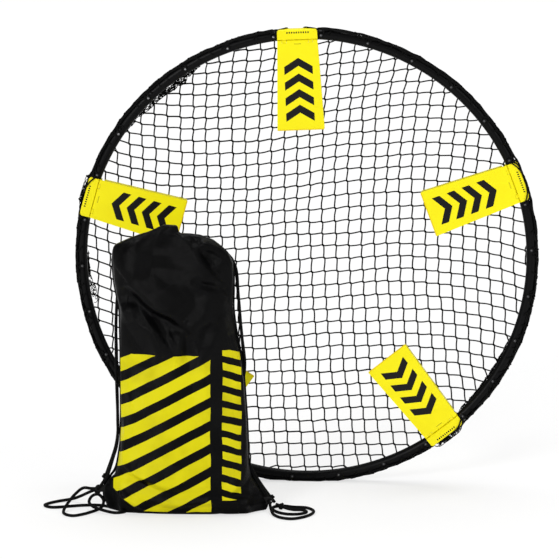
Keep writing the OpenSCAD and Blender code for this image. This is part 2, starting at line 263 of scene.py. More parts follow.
def makeKnot(name, place, heading):
    # An overhand knot pulled tight
    t = np.linspace(0, 2 * math.pi, cordKnot["points"])
    swing = 2 + cordKnot["lobes"] * np.cos(3 * t)
    loop = np.stack([swing * np.cos(2 * t), swing * np.sin(2 * t), cordKnot["rise"] * np.sin(3 * t)], 1)
    points, faces, uvs = tubeParts([loop * cordKnot["size"]], cordKnot["strand"], cordKnot["sides"])
    turn = Vector(heading).to_track_quat("Z", "Y").to_matrix()
    points = [turn @ Vector(p) + Vector(place) for p in points]
    low = min(p.z for p in points)
    lift = max(0.0, cord["floorGap"] - low)
    points = [p + Vector((0, 0, lift)) for p in points]
    piece = addObject(name + "_tied", points, faces, uvs=uvs)
    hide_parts(name)
    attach(piece, "bag")
    return piece


cordPieces, knotPieces = {}, {}
for cordName, route in cordRoutes.items():
    knotName = cordName.replace("drawcord", "cord_knot")
    braid, centreLine, cordLength = makeCord(cordName, route, knotPlaces[knotName])
    end = np.array(knotPlaces[knotName]) - np.array(route[-1])
    knotPieces[knotName] = makeKnot(knotName, knotPlaces[knotName], end)
    cordPieces[cordName] = braid
    print("cord", cordName, round(cordLength, 3), "m")


def newGroup(name, inputs, outputs):
    # inputs are (name, default) and outputs are names; a colour's default has four numbers
    group = bpy.data.node_groups.new(name, "ShaderNodeTree")
    for label, default in inputs:
        kind = "NodeSocketColor" if isinstance(default, tuple) and len(default) == 4 else "NodeSocketFloat"
        if isinstance(default, tuple) and len(default) == 3:
            kind = "NodeSocketVector"
        socket = group.interface.new_socket(label, in_out="INPUT", socket_type=kind)
        socket.default_value = default
    for label, kind in outputs:
        group.interface.new_socket(label, in_out="OUTPUT", socket_type=kind)
    return group, group.nodes.new("NodeGroupInput"), group.nodes.new("NodeGroupOutput")


def addNode(tree, kind, **values):
    node = tree.nodes.new(kind)
    for label, value in values.items():
        node.inputs[label].default_value = value
    return node


def maths(tree, operation, a, b=None, clamp=False):
    node = tree.nodes.new("ShaderNodeMath")
    node.operation = operation
    node.use_clamp = clamp
    for slotNumber, value in enumerate((a, b)):
        if value is None:
            continue
        if isinstance(value, bpy.types.NodeSocket):
            tree.links.new(value, node.inputs[slotNumber])
        else:
            node.inputs[slotNumber].default_value = value
    return node.outputs[0]


def noiseValue(tree, vector, scale, detail=3.0, roughness=0.5):
    node = tree.nodes.new("ShaderNodeTexNoise")
    node.inputs["Scale"].default_value = scale
    node.inputs["Detail"].default_value = detail
    node.inputs["Roughness"].default_value = roughness
    if vector is not None:
        tree.links.new(vector, node.inputs["Vector"])
    return node.outputs["Fac"]


def ramp(tree, value, low, high):
    node = tree.nodes.new("ShaderNodeMapRange")
    node.interpolation_type = "SMOOTHSTEP"
    node.inputs["From Min"].default_value = low
    node.inputs["From Max"].default_value = high
    tree.links.new(value, node.inputs["Value"])
    return node.outputs["Result"]


def mixColour(tree, factor, a, b):
    node = tree.nodes.new("ShaderNodeMix")
    node.data_type = "RGBA"
    for socketNumber, value in ((0, factor), (6, a), (7, b)):
        if isinstance(value, bpy.types.NodeSocket):
            tree.links.new(value, node.inputs[socketNumber])
        else:
            node.inputs[socketNumber].default_value = value
    return node.outputs[2]


def makeGrain():
    # Fine texture of moulded plastic: a height and a slow drift in tone, both round 0.5
    group, enter, leave = newGroup("mouldedGrain", [("Scale", 2400.0), ("Drift", 14.0)],
                                   [("Height", "NodeSocketFloat"), ("Tone", "NodeSocketFloat")])
    where = group.nodes.new("ShaderNodeTexCoord").outputs["Object"]
    fine = group.nodes.new("ShaderNodeTexNoise")
    fine.inputs["Detail"].default_value = 2.0
    slow = group.nodes.new("ShaderNodeTexNoise")
    slow.inputs["Detail"].default_value = 4.0
    group.links.new(where, fine.inputs["Vector"])
    group.links.new(where, slow.inputs["Vector"])
    group.links.new(enter.outputs["Scale"], fine.inputs["Scale"])
    group.links.new(enter.outputs["Drift"], slow.inputs["Scale"])
    group.links.new(fine.outputs["Fac"], leave.inputs["Height"])
    group.links.new(slow.outputs["Fac"], leave.inputs["Tone"])
    return group


scuffLook = {
    "stretch": (1.0, 1.0, 7.0),
    "turn": (0.3, 0.5, 0.2),
    "streaks": (0.60, 0.72),      # where in the noise a scratch starts and is full
    "patches": (0.45, 0.70),
    "patchScale": 9.0,
}


def makeScuffs():
    # Sparse fine scratches and rubbed patches, 0 where the surface is clean
    group, enter, leave = newGroup("handlingScuffs", [("Scale", 60.0), ("Amount", 0.5)],
                                   [("Mask", "NodeSocketFloat")])
    where = group.nodes.new("ShaderNodeTexCoord").outputs["Object"]
    stretch = group.nodes.new("ShaderNodeMapping")
    stretch.inputs["Scale"].default_value = scuffLook["stretch"]
    stretch.inputs["Rotation"].default_value = scuffLook["turn"]
    group.links.new(where, stretch.inputs["Vector"])
    streak = group.nodes.new("ShaderNodeTexNoise")
    streak.inputs["Detail"].default_value = 6.0
    streak.inputs["Roughness"].default_value = 0.75
    group.links.new(stretch.outputs["Vector"], streak.inputs["Vector"])
    group.links.new(enter.outputs["Scale"], streak.inputs["Scale"])
    patch = noiseValue(group, where, scuffLook["patchScale"], 2.0)
    sharp = ramp(group, streak.outputs["Fac"], *scuffLook["streaks"])
    broad = ramp(group, patch, *scuffLook["patches"])
    both = maths(group, "MULTIPLY", sharp, broad)
    group.links.new(maths(group, "MULTIPLY", both, enter.outputs["Amount"], clamp=True),
                    leave.inputs["Mask"])
    return group


def makeLay():
    # Strands of twine or braid from the lay coordinates: x goes round, y along in metres
    group, enter, leave = newGroup("strandLay", [("Pitch", 250.0), ("Strands", 3.0), ("Braid", 0.0)],
                                   [("Height", "NodeSocketFloat")])
    uv = group.nodes.new("ShaderNodeUVMap")
    uv.uv_map = "lay"
    split = group.nodes.new("ShaderNodeSeparateXYZ")
    group.links.new(uv.outputs["UV"], split.inputs["Vector"])
    roundAbout = maths(group, "MULTIPLY", split.outputs["X"], enter.outputs["Strands"])
    along = maths(group, "MULTIPLY", split.outputs["Y"], enter.outputs["Pitch"])
    waves = []
    for direction in ("ADD", "SUBTRACT"):
        phase = maths(group, direction, along, roundAbout)
        halfTurned = maths(group, "MULTIPLY", phase, math.pi)
        waves.append(maths(group, "ABSOLUTE", maths(group, "SINE", halfTurned)))
    crossed = maths(group, "MULTIPLY", waves[0], waves[1])
    weight = enter.outputs["Braid"]
    plain = maths(group, "MULTIPLY", waves[0], maths(group, "SUBTRACT", 1.0, weight))
    braided = maths(group, "MULTIPLY", crossed, weight)
    group.links.new(maths(group, "ADD", plain, braided), leave.inputs["Height"])
    return group


weaveLook = {
    "threadDepth": 0.12,     # of the threads against the crinkles
    "crinkleDetail": 5.0,
    "toneScale": 16.0,
    "toneDetail": 4.0,
}


def makeWeave():
    # Plain weave of fine nylon and its soft crinkles
    group, enter, leave = newGroup("nylonWeave", [("Threads", 1700.0), ("Crinkle", 60.0)],
                                   [("Height", "NodeSocketFloat"), ("Tone", "NodeSocketFloat")])
    where = group.nodes.new("ShaderNodeTexCoord").outputs["Object"]
    split = group.nodes.new("ShaderNodeSeparateXYZ")
    group.links.new(where, split.inputs["Vector"])
    slanted = maths(group, "ADD", split.outputs["X"], split.outputs["Y"])
    waves = []
    for axis in (slanted, split.outputs["Z"]):
        phase = maths(group, "MULTIPLY", axis, enter.outputs["Threads"])
        waves.append(maths(group, "SINE", maths(group, "MULTIPLY", phase, 2 * math.pi)))
    threads = maths(group, "MULTIPLY", waves[0], waves[1])
    crinkle = group.nodes.new("ShaderNodeTexNoise")
    crinkle.inputs["Detail"].default_value = weaveLook["crinkleDetail"]
    crinkle.inputs["Roughness"].default_value = 0.55
    group.links.new(where, crinkle.inputs["Vector"])
    group.links.new(enter.outputs["Crinkle"], crinkle.inputs["Scale"])
    raised = maths(group, "MULTIPLY", threads, weaveLook["threadDepth"])
    group.links.new(maths(group, "ADD", raised, crinkle.outputs["Fac"]), leave.inputs["Height"])
    tone = noiseValue(group, where, weaveLook["toneScale"], weaveLook["toneDetail"])
    group.links.new(tone, leave.inputs["Tone"])
    return group


grainGroup = makeGrain()
scuffGroup = makeScuffs()
layGroup = makeLay()
weaveGroup = makeWeave()


def allOf(tree, *masks):
    # 1 where every mask is 1
    both = masks[0]
    for mask in masks[1:]:
        both = maths(tree, "MULTIPLY", both, mask)
    return both


def placeGroup(tree, group, **values):
    node = tree.nodes.new("ShaderNodeGroup")
    node.node_tree = group
    for key, value in values.items():
        node.inputs[key].default_value = value
    return node


def newMaterial(name, colour, roughness, shine=0.5):
    material = bpy.data.materials.new(name)
    material.use_nodes = True
    tree = material.node_tree
    shader = tree.nodes["Principled BSDF"]
    shader.inputs["Base Color"].default_value = (*colour, 1)
    shader.inputs["Roughness"].default_value = roughness
    shader.inputs["Specular IOR Level"].default_value = shine
    return material, tree, shader


def bumpTo(tree, shader, height, strength, distance):
    bump = tree.nodes.new("ShaderNodeBump")
    bump.inputs["Strength"].default_value = strength
    bump.inputs["Distance"].default_value = distance
    tree.links.new(height, bump.inputs["Height"])
    tree.links.new(bump.outputs["Normal"], shader.inputs["Normal"])


def roughnessBetween(tree, shader, value, low, high):
    node = tree.nodes.new("ShaderNodeMapRange")
    node.inputs["To Min"].default_value = low
    node.inputs["To Max"].default_value = high
    tree.links.new(value, node.inputs["Value"])
    tree.links.new(node.outputs["Result"], shader.inputs["Roughness"])


def colourOf(values):
    return (*values, 1)


def mouldedPlastic(name, finish):
    # Moulded plastic whose grain varies its gloss and its surface
    material, tree, shader = newMaterial(name, finish["colour"], finish["roughness"][0], finish["shine"])
    grain = placeGroup(tree, grainGroup, Scale=finish["grain"], Drift=finish["drift"])
    roughnessBetween(tree, shader, grain.outputs["Tone"], *finish["roughness"])
    bumpTo(tree, shader, grain.outputs["Height"], *finish["bump"])
    return material, tree, shader, grain.outputs["Tone"]


rimFinish = {
    "colour": (0.0020, 0.0020, 0.0022),
    "worn": (0.008, 0.008, 0.009),
    "shine": 0.10,
    "roughness": (0.30, 0.46),
    "grain": 1800.0,
    "drift": 18.0,
    "bump": (0.25, 0.0002),            # strength, and depth in metres
    "scuffScale": 70.0,
    "scuffs": 0.8,
}


def makeRimPlastic():
    material, tree, shader = mouldedPlastic("rimPlastic", rimFinish)[:3]
    scuffs = placeGroup(tree, scuffGroup, Scale=rimFinish["scuffScale"], Amount=rimFinish["scuffs"])
    worn = scuffs.outputs["Mask"]
    colour = mixColour(tree, worn, colourOf(rimFinish["colour"]), colourOf(rimFinish["worn"]))
    tree.links.new(colour, shader.inputs["Base Color"])
    return material


legFinish = {
    "colour": (0.94, 0.84, 0.003),
    "shade": (0.88, 0.74, 0.002),      # moulding drift and rubbed edges
    "ink": (0.003, 0.0026, 0.003),
    "foot": (0.80, 0.60, 0.002),       # painted shade: a darker band round the foot's end, where its rounded edge lies in shade
    "shine": 0.2,
    "roughness": (0.34, 0.48),
    "grain": 1500.0,
    "drift": 22.0,
    "driftFrom": (0.35, 0.75),
    "bump": (0.2, 0.0002),
    "scuffScale": 90.0,
    "panelWear": (0.35, 0.35),         # how much the scuffs and the drift show
    "socketWear": (0.5, 0.4),
    "footEnd": 0.2594,
    "face": 0.0124,                    # the print is on what lies in front of this
    "chevrons": (0.300, 0.331, 0.362, 0.393),   # their tips, from the ring's middle
    "chevronWidth": 0.0160,
    "chevronSpan": 0.056,
    "chevronLean": 0.62,
}
# Fine rows of ticks: distance from the ring's middle, pitch, share inked, height, span, strength
legTicks = {
    "panel": (0.4285, 0.0023, 0.6, 0.0018, 0.014, 0.7),
    "socket": (0.4510, 0.0046, 0.55, 0.0034, 0.046, 1.0),
}


def legPlace(tree, angle):
    # Distances along a leg, across it, and in front of the ring's plane
    where = tree.nodes.new("ShaderNodeTexCoord").outputs["Object"]
    split = tree.nodes.new("ShaderNodeSeparateXYZ")
    tree.links.new(where, split.inputs["Vector"])
    x, z = split.outputs["X"], maths(tree, "SUBTRACT", split.outputs["Z"], ring["height"])
    c, s = math.cos(math.radians(angle)), math.sin(math.radians(angle))
    along = maths(tree, "ADD", maths(tree, "MULTIPLY", x, c), maths(tree, "MULTIPLY", z, s))
    across = maths(tree, "SUBTRACT", maths(tree, "MULTIPLY", z, c), maths(tree, "MULTIPLY", x, s))
    front = maths(tree, "SUBTRACT", ring["depth"], split.outputs["Y"])
    return along, across, front


def inkAt(tree, value, middle, width):
    off = maths(tree, "ABSOLUTE", maths(tree, "SUBTRACT", value, middle))
    return maths(tree, "LESS_THAN", off, width / 2)


def yellowPlastic(name, wear):
    # The legs' plastic, and its colour before anything is printed on it
    material, tree, shader, tone = mouldedPlastic(name, legFinish)
    scuffs = placeGroup(tree, scuffGroup, Scale=legFinish["scuffScale"], Amount=wear[0])
    drift = maths(tree, "MULTIPLY", ramp(tree, tone, *legFinish["driftFrom"]), wear[1])
    worn = maths(tree, "MAXIMUM", drift, scuffs.outputs["Mask"])
    plain = mixColour(tree, worn, colourOf(legFinish["colour"]), colourOf(legFinish["shade"]))
    return material, tree, shader, plain


def tickRow(tree, along, across, row):
    middle, pitch, inked, height, span, strength = row
    beat = maths(tree, "FRACT", maths(tree, "DIVIDE", across, pitch))
    ticks = allOf(tree, maths(tree, "LESS_THAN", beat, inked), inkAt(tree, along, middle, height),
                  inkAt(tree, across, 0.0, span))
    return maths(tree, "MULTIPLY", ticks, strength)


def makeLegPlastic(name, angle):
    material, tree, shader, plain = yellowPlastic(name, legFinish["panelWear"])
    along, across, front = legPlace(tree, angle)
    aside = maths(tree, "ABSOLUTE", across)
    leaned = maths(tree, "ADD", along, maths(tree, "MULTIPLY", aside, legFinish["chevronLean"]))
    chevrons = None
    for tip in legFinish["chevrons"]:
        bar = inkAt(tree, leaned, tip, legFinish["chevronWidth"])
        chevrons = bar if chevrons is None else maths(tree, "MAXIMUM", chevrons, bar)
    chevrons = allOf(tree, chevrons, maths(tree, "LESS_THAN", aside, legFinish["chevronSpan"] / 2),
                     maths(tree, "GREATER_THAN", front, legFinish["face"]))
    ink = maths(tree, "MAXIMUM", chevrons, tickRow(tree, along, across, legTicks["panel"]))
    # Painted shade: the band along the foot's end is coloured darker, in place of the shade on its rounded
    # edge.
    foot = maths(tree, "LESS_THAN", along, legFinish["footEnd"])
    plain = mixColour(tree, foot, plain, colourOf(legFinish["foot"]))
    tree.links.new(mixColour(tree, ink, plain, colourOf(legFinish["ink"])), shader.inputs["Base Color"])
    return material


def makeSocketPlastic(name, angle):
    material, tree, shader, plain = yellowPlastic(name, legFinish["socketWear"])
    along, across, front = legPlace(tree, angle)
    ink = allOf(tree, tickRow(tree, along, across, legTicks["socket"]),
                maths(tree, "GREATER_THAN", front, legFinish["face"]))
    tree.links.new(mixColour(tree, ink, plain, colourOf(legFinish["ink"])), shader.inputs["Base Color"])
    return material


pinFinish = {
    "colour": (0.56, 0.57, 0.59),
    "shade": (0.448, 0.456, 0.472),
    "roughness": (0.22, 0.4),
    "drawn": (1.0, 1.0, 0.1),          # the drawing marks are long along the pin
    "grain": 900.0,
    "bump": (0.15, 0.0001),
}


def newMetal(name, finish):
    # A bare metal, and where its surface is
    material, tree, shader = newMaterial(name, finish["colour"], finish["roughness"][0])
    shader.inputs["Metallic"].default_value = 1.0
    return material, tree, shader, tree.nodes.new("ShaderNodeTexCoord").outputs["Object"]


def makePinSteel():
    material, tree, shader, where = newMetal("pinSteel", pinFinish)
    mapping = tree.nodes.new("ShaderNodeMapping")
    mapping.inputs["Scale"].default_value = pinFinish["drawn"]
    tree.links.new(where, mapping.inputs["Vector"])
    drawn = noiseValue(tree, mapping.outputs["Vector"], pinFinish["grain"], 3.0)
    colour = mixColour(tree, drawn, colourOf(pinFinish["colour"]), colourOf(pinFinish["shade"]))
    tree.links.new(colour, shader.inputs["Base Color"])
    roughnessBetween(tree, shader, drawn, *pinFinish["roughness"])
    bumpTo(tree, shader, drawn, *pinFinish["bump"])
    return material


rivetFinish = {
    "colour": (0.34, 0.34, 0.35),
    # the heads' colour away from the painted highlight: painted shade
    "paintedShadeColour": (0.11, 0.11, 0.115),
    "paintedGlintAt": 122.0,                 # angle on the rim where a highlight is painted on the heads
    "paintedGlintSpan": (0.34, 0.42),            # metres along that direction, from painted shade to painted highlight
    "blotch": 0.35,
    "roughness": (0.35, 0.6),
    "grain": 1400.0,
    "bump": (0.15, 0.0001),
}


def makeRivetMetal():
    # The heads are painted dark as shade, with a painted highlight on one stretch of the rim where they
    # catch the light
    material, tree, shader, where = newMetal("rivetAlloy", rivetFinish)
    along = legPlace(tree, rivetFinish["paintedGlintAt"])[0]
    fuzz = noiseValue(tree, where, rivetFinish["grain"], 2.0)
    # Painted highlight: the heads are lighter towards one direction on the rim, varied by a random blotch
    paintedGlint = ramp(tree, along, *rivetFinish["paintedGlintSpan"])
    paintedGlint = maths(tree, "MULTIPLY", paintedGlint, maths(tree, "ADD", fuzz, rivetFinish["blotch"]), clamp=True)
    colour = mixColour(tree, paintedGlint, colourOf(rivetFinish["paintedShadeColour"]), colourOf(rivetFinish["colour"]))
    tree.links.new(colour, shader.inputs["Base Color"])
    roughnessBetween(tree, shader, fuzz, *rivetFinish["roughness"])
    bumpTo(tree, shader, fuzz, *rivetFinish["bump"])
    return material


hookFinish = {
    "colour": (0.004, 0.004, 0.004),
    "worn": (0.010, 0.010, 0.011),
    "shine": 0.2,
    "roughness": (0.22, 0.42),
    "grain": 2600.0,
    "drift": 60.0,
    "bump": (0.2, 0.0001),
}


def makeHookPlastic():
    material, tree, shader, tone = mouldedPlastic("hookPlastic", hookFinish)
    colour = mixColour(tree, tone, colourOf(hookFinish["colour"]), colourOf(hookFinish["worn"]))
    tree.links.new(colour, shader.inputs["Base Color"])
    return material


# Twine and cord: strands lie at the pitch, and braid crosses them. Their colour has painted light and
# shade: lighter on the strands' crowns, darker in the grooves between them
twineFinish = {
    # painted shade in the grooves between strands, and painted light on their crowns
    "paintedGrooveShade": (0.0018, 0.0018, 0.0018),
    "light": (0.0066, 0.0066, 0.0066),
    "shine": 0.07,
    "sheen": 0.006,
    "sheenRoughness": 0.4,
    "roughness": (0.55, 0.85),
    "fuzz": 2600.0,
    "fuzzDepth": 0.3,
    "bump": 0.7,
}


def makeTwine(name, pitch, strands, braid, depth):
    finish = twineFinish
    material, tree, shader = newMaterial(name, finish["paintedGrooveShade"], finish["roughness"][0], finish["shine"])
    lay = placeGroup(tree, layGroup, Pitch=pitch, Strands=strands, Braid=braid).outputs["Height"]
    where = tree.nodes.new("ShaderNodeTexCoord").outputs["Object"]
    fuzz = noiseValue(tree, where, finish["fuzz"], 2.0)
    # Painted light and shade from the lay: crowns lighter, grooves darker; the fuzz adds a real random tone
    tone = maths(tree, "MULTIPLY", lay, fuzz)
    colour = mixColour(tree, tone, colourOf(finish["paintedGrooveShade"]), colourOf(finish["light"]))
    tree.links.new(colour, shader.inputs["Base Color"])
    roughnessBetween(tree, shader, fuzz, *finish["roughness"])
    shader.inputs["Sheen Weight"].default_value = finish["sheen"]
    shader.inputs["Sheen Roughness"].default_value = finish["sheenRoughness"]
    height = maths(tree, "ADD", lay, maths(tree, "MULTIPLY", fuzz, finish["fuzzDepth"]))
    bumpTo(tree, shader, height, finish["bump"], depth)
    return material


rimPlastic = makeRimPlastic()
pinSteel = makePinSteel()
rivetAlloy = makeRivetMetal()
hookPlastic = makeHookPlastic()
netTwine = makeTwine("netTwine", pitch=420.0, strands=2.0, braid=0.0, depth=0.0003)
cordBraid = makeTwine("cordBraid", pitch=330.0, strands=8.0, braid=1.0, depth=0.0004)
for piece in (*cordPieces.values(), *knotPieces.values()):
    piece.data.materials.append(cordBraid)
print("materials made")


def paintNode(name, material):
    for place in nodes[name].material_slots:
        place.material = material


rimTube = {"round": 36, "stepDegrees": 0.75, "endRound": 0.0008}


def makeRimTube(number):
    # A bent hollow tube between two sockets, with softened ends
    name = "rim_tube_" + str(number)
    half = legStep / 2 - ring["spigot"]
    middle = ring["firstLeg"] + (number - 0.5) * legStep
    count = int(2 * half / rimTube["stepDegrees"]) + 1
    angles = np.linspace(middle - half, middle + half, count)
    outer, inner, soft = ring["tube"], ring["tube"] - ring["wall"], rimTube["endRound"]
    softTurn = math.degrees(soft / ring["radius"])
    stations = [(angles[0], inner), (angles[0], outer - soft), (angles[0] + softTurn, outer)]
    stations += [(a, outer) for a in angles[1:-1]]
    stations += [(angles[-1] - softTurn, outer), (angles[-1], outer - soft), (angles[-1], inner)]
    stations += [(a, inner) for a in angles[-2:0:-1]]
    sides = rimTube["round"]
    points, faces, uvs = [], [], []
    for row, (angle, radius) in enumerate(stations):
        for k in range(sides):
            t = 2 * math.pi * k / sides
            points.append(onRing(angle, ring["radius"] + radius * math.cos(t), radius * math.sin(t)))
            uvs.append((k / sides, math.radians(angle) * ring["radius"]))
    rows = len(stations)
    for row in range(rows):
        for k in range(sides):
            a, b = row * sides, ((row + 1) % rows) * sides
            faces.append((a + k, b + k, b + (k + 1) % sides, a + (k + 1) % sides))
    piece = addObject(name + "_shell", points, faces, uvs=uvs)
    piece.data.materials.append(rimPlastic)
    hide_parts(name)
    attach(piece, "ring")


for number in range(1, ring["legs"] + 1):
    makeRimTube(number)
print("rim tubes made")

legEdges = {"width": 0.0006, "segments": 2, "sharpFrom": 35.0}


def softenEdges(piece, width, segments, sharpFrom):
    bevel = piece.modifiers.new("softEdges", "BEVEL")
    bevel.width = width
    bevel.segments = segments
    bevel.limit_method = "ANGLE"
    bevel.angle_limit = math.radians(sharpFrom)
    bevel.use_clamp_overlap = True
    bevel.harden_normals = False


for leg in range(1, ring["legs"] + 1):
    panel, socket, pin = ("leg_panel_%d" % leg, "leg_socket_%d" % leg, "hinge_pin_%d" % leg)
    paintNode(panel, makeLegPlastic("legPlastic" + str(leg), legAngle(leg)))
    paintNode(socket, makeSocketPlastic("socketPlastic" + str(leg), legAngle(leg)))
    softenEdges(nodes[panel], **legEdges)
    softenEdges(nodes[socket], **legEdges)
    paintNode(pin, pinSteel)
paintNode("net_hooks", hookPlastic)
paintNode("hook_rivets", rivetAlloy)
print("legs painted")

netWeb = {
    "cell": 0.0252,
    "twine": 0.00152,        # radius
    "sides": 6,
    "back": 0.0125,          # distance of the net behind the ring's plane
    "knotHalf": (0.0009, -0.0008),   # half a knot's slant, across and up
    "knotLength": 0.0031,
    "knotWidth": 0.0023,
    "slackTwine": 0.0007,    # radius where the twine hangs slack
    "edge": 0.4385,          # radius where the twines meet the back of the rim
    "edgeGap": 0.002,
    "weave": 0.0006,         # how far the two directions of twine lie before and behind the net
    "bend": 0.0009,          # how far a mesh's side strays from straight
    "size": 0.450,           # the radius at which the flow below has its full value
    "reach": 24,             # meshes from the middle to the last one
    "seed": 7,
    "tailSeed": 11,
}
netUneven = {"rippleScale": 14, "ripple": 0.0030, "jitterScale": 90, "jitter": 0.0012, "dent": 0.0012}
# How the stretched mesh leans, bows and droops, each in metres at the rim
netFlow = {
    "shiftX": -0.017,
    "lean": -0.016,
    "bow": 0.024,
    "spread": 0.034,
    "shiftZ": 0.017,
    "sag": -0.010,
    "pinch": -0.016,
    "rise": 0.028,
    "fan": 0.028,
    "lift": 0.017,
    "droop": -0.074,
}


def meshPoint(i, j):
    # Where the net's knot (i, j) is: across and up from the ring's axis
    u, v = i * netWeb["cell"], j * netWeb["cell"]
    s, t = u / netWeb["size"], v / netWeb["size"]
    f = netFlow
    x = u + f["shiftX"] + f["lean"] * t + f["bow"] * t * t + f["spread"] * s * t * t
    z = (v + f["shiftZ"] + f["sag"] * t * t + f["pinch"] * t ** 3 + f["rise"] * s + f["fan"] * s * t
         + f["lift"] * s * s + f["droop"] * s ** 3)
    ripple = noise.noise_vector(Vector((u * netUneven["rippleScale"], v * netUneven["rippleScale"], 0.7)))
    jitter = noise.noise_vector(Vector((u * netUneven["jitterScale"], v * netUneven["jitterScale"], 3.1)))
    x += netUneven["ripple"] * ripple.x + netUneven["jitter"] * jitter.x
    z += netUneven["ripple"] * ripple.y + netUneven["jitter"] * jitter.y
    return np.array([x, z]), netUneven["dent"] * ripple.z


def fromLeg(angle):
    # Degrees from the nearest leg's middle
    return abs((angle - ring["firstLeg"] + legStep / 2) % legStep - legStep / 2)


# The sockets' rounded box: reach outwards, to the front and to the back, and its ends in degrees
socketSkin = {"out": 0.011, "front": 0.013, "back": 0.012, "corner": 7, "end": 5.0, "endBlend": 0.9}


def rimEnvelope(angle, turn, lift):
    # A point on the rim's skin: turn goes round the tube from its back (0) over its outer side (90)
    t = math.radians(turn)
    out, ahead = math.sin(t), -math.cos(t)
    tubeReach = ring["tube"] + lift
    depth = socketSkin["front"] if ahead > 0 else socketSkin["back"]
    power = socketSkin["corner"]
    both = (abs(out) / socketSkin["out"]) ** power + (abs(ahead) / depth) ** power
    boxReach = 1 / both ** (1 / power) + lift
    blend = min(1.0, max(0.0, (fromLeg(angle) - socketSkin["end"]) / socketSkin["endBlend"]))
    blend = blend * blend * (3 - 2 * blend)
    reach = boxReach * (1 - blend) + tubeReach * blend
    return onRing(angle, ring["radius"] + reach * out, reach * ahead)


def nearestHook(angle):
    k = round((angle - ring["firstLeg"]) / hookStep - 0.5)
    return hookAngle(k)


def clearOfGround(line, radius):
    for p in line:
        p[2] = max(p[2], radius + 0.0002)
    return line


def knotAt(centre, heading, size=1.0):
    # A knot a little thicker than the twine: its points along heading, and its radii
    spans = np.array([-1.0, -0.62, 0.0, 0.62, 1.0]) * netWeb["knotLength"] * size
    radii = np.array([0.35, 0.86, 1.0, 0.86, 0.35]) * netWeb["knotWidth"]
    return [centre + heading * span for span in spans], radii


# The twine's tails over the rim: the turns they pass and how they come in to the hook's neck
netTail = {
    "turns": (8, 34, 62, 90, 116, 138),
    "lastTurn": 158,
    "drift": 2.2,            # how late the tail drifts over to its hook
    "driftOver": 150,
    "stray": 1.2,            # degrees
    "loose": 0.0006,
    "neck": 0.0034,
    "step": 0.0045,
}


def buildNet():
    noise.seed_set(netWeb["seed"])
    lines, knots = [], []
    reach = netWeb["reach"]
    place = {}
    for i in range(-reach, reach + 1):
        for j in range(-reach, reach + 1):
            place[i, j] = meshPoint(i, j)
    half = np.array(netWeb["knotHalf"])
    draw = random.Random(netWeb["tailSeed"])
    inside = {k for k, (p, d) in place.items() if np.linalg.norm(p) < netWeb["edge"] - netWeb["edgeGap"]}

    def local(p, back):
        return np.array([p[0], ring["depth"] + netWeb["back"] + back, ring["height"] + p[1]])

    def toRim(p, q):
        # where the way from p to q, going out, meets the net's edge circle
        low, high = 0.0, 1.0
        for _ in range(24):
            mid = (low + high) / 2
            if np.linalg.norm(p + (q - p) * mid) < netWeb["edge"]:
                low = mid
            else:
                high = mid
        return p + (q - p) * low

    def tailOverRim(p):
        # from the net's edge at p, behind the rim, over its outer side and forward to the nearest hook
        angle = math.degrees(math.atan2(p[1], p[0]))
        hook = nearestHook(angle)
        gap = (hook - angle + 180) % 360 - 180
        side = 1 if gap < 0 else -1
        stray = draw.uniform(-netTail["stray"], netTail["stray"])
        path = []
        for turn in netTail["turns"]:
            share = (turn / netTail["driftOver"]) ** netTail["drift"]
            path.append(rimEnvelope(angle + gap * share + stray * math.sin(math.radians(turn)), turn,
                                    netWeb["twine"] + draw.uniform(0.0, netTail["loose"])))
        neck = math.degrees(netTail["neck"] / ring["radius"])
        path.append(rimEnvelope(hook + side * neck * 1.6, netTail["lastTurn"], netWeb["twine"] + 0.0003))
        path.append(onRing(hook + side * neck, ring["radius"] + 0.0015, ring["tube"] + 0.0012))
        path.append(onRing(hook + side * neck * 0.6, ring["radius"] - 0.0030, ring["tube"] + 0.0010))
        return [np.array(q) for q in path]

    def strand(along):
        # one twine through a run of knots inside the rim, with a tail over the rim at each end
        runs, run = [], []
        for key in along:
            if key in inside:
                run.append(key)
            elif run:
                runs.append(run)
                run = []
        if run:
            runs.append(run)
        for run in runs:
            step = (run[1][0] - run[0][0], run[1][1] - run[0][1]) if len(run) > 1 else (1, 0)
            lift = netWeb["weave"] if step[0] != 0 else -netWeb["weave"]
            pts = []
            before = (run[0][0] - step[0], run[0][1] - step[1])
            after = (run[-1][0] + step[0], run[-1][1] + step[1])
            pts.extend(reversed(tailOverRim(toRim(place[run[0]][0], place[before][0]))))
            for n, key in enumerate(run):
                p, d = place[key]
                pts.append(local(p - half, d + lift))
                pts.append(local(p + half, d + lift))
                if n + 1 < len(run):
                    q, e = place[run[n + 1]]
                    mid = (p + q) / 2
                    bend = np.array([draw.uniform(-1, 1), draw.uniform(-1, 1)]) * netWeb["bend"]
                    pts.append(local(mid + bend, (d + e) / 2))
            pts.extend(tailOverRim(toRim(place[run[-1]][0], place[after][0])))
            lines.append(clearOfGround(smoothRoute(pts, netTail["step"]), netWeb["twine"]))

    for j in range(-reach, reach + 1):
        strand([(i, j) for i in range(-reach, reach + 1)])
    for i in range(-reach, reach + 1):
        strand([(i, j) for j in range(reach, -reach - 1, -1)])
    lean = np.array([half[0], 0, half[1]])
    lean /= np.linalg.norm(lean)
    for key in inside:
        knots.append(knotAt(local(*place[key]), lean))
    return lines, knots


def knotOn(line, spot, size):
    # A knot that lies along the line
    slope = line[min(spot + 1, len(line) - 1)] - line[max(spot - 1, 0)]
    return knotAt(line[spot], slope / (np.linalg.norm(slope) + 1e-9), size)


# How slack twine curls: its wander, its swing sideways, its reach (middle, slow and quick part),
# its depth, points and knots for each loop, and the size of its knots
curl = {
    "wander": 0.9,
    "swing": 0.75,
    "middle": 0.5,
    "slow": 0.42,
    "quick": 0.30,
    "depth": 0.003,
    "points": 7,
    "knots": 1 / 3,
    "knotSize": 0.6,
    "step": 0.0025,
    "seed": 31,
}


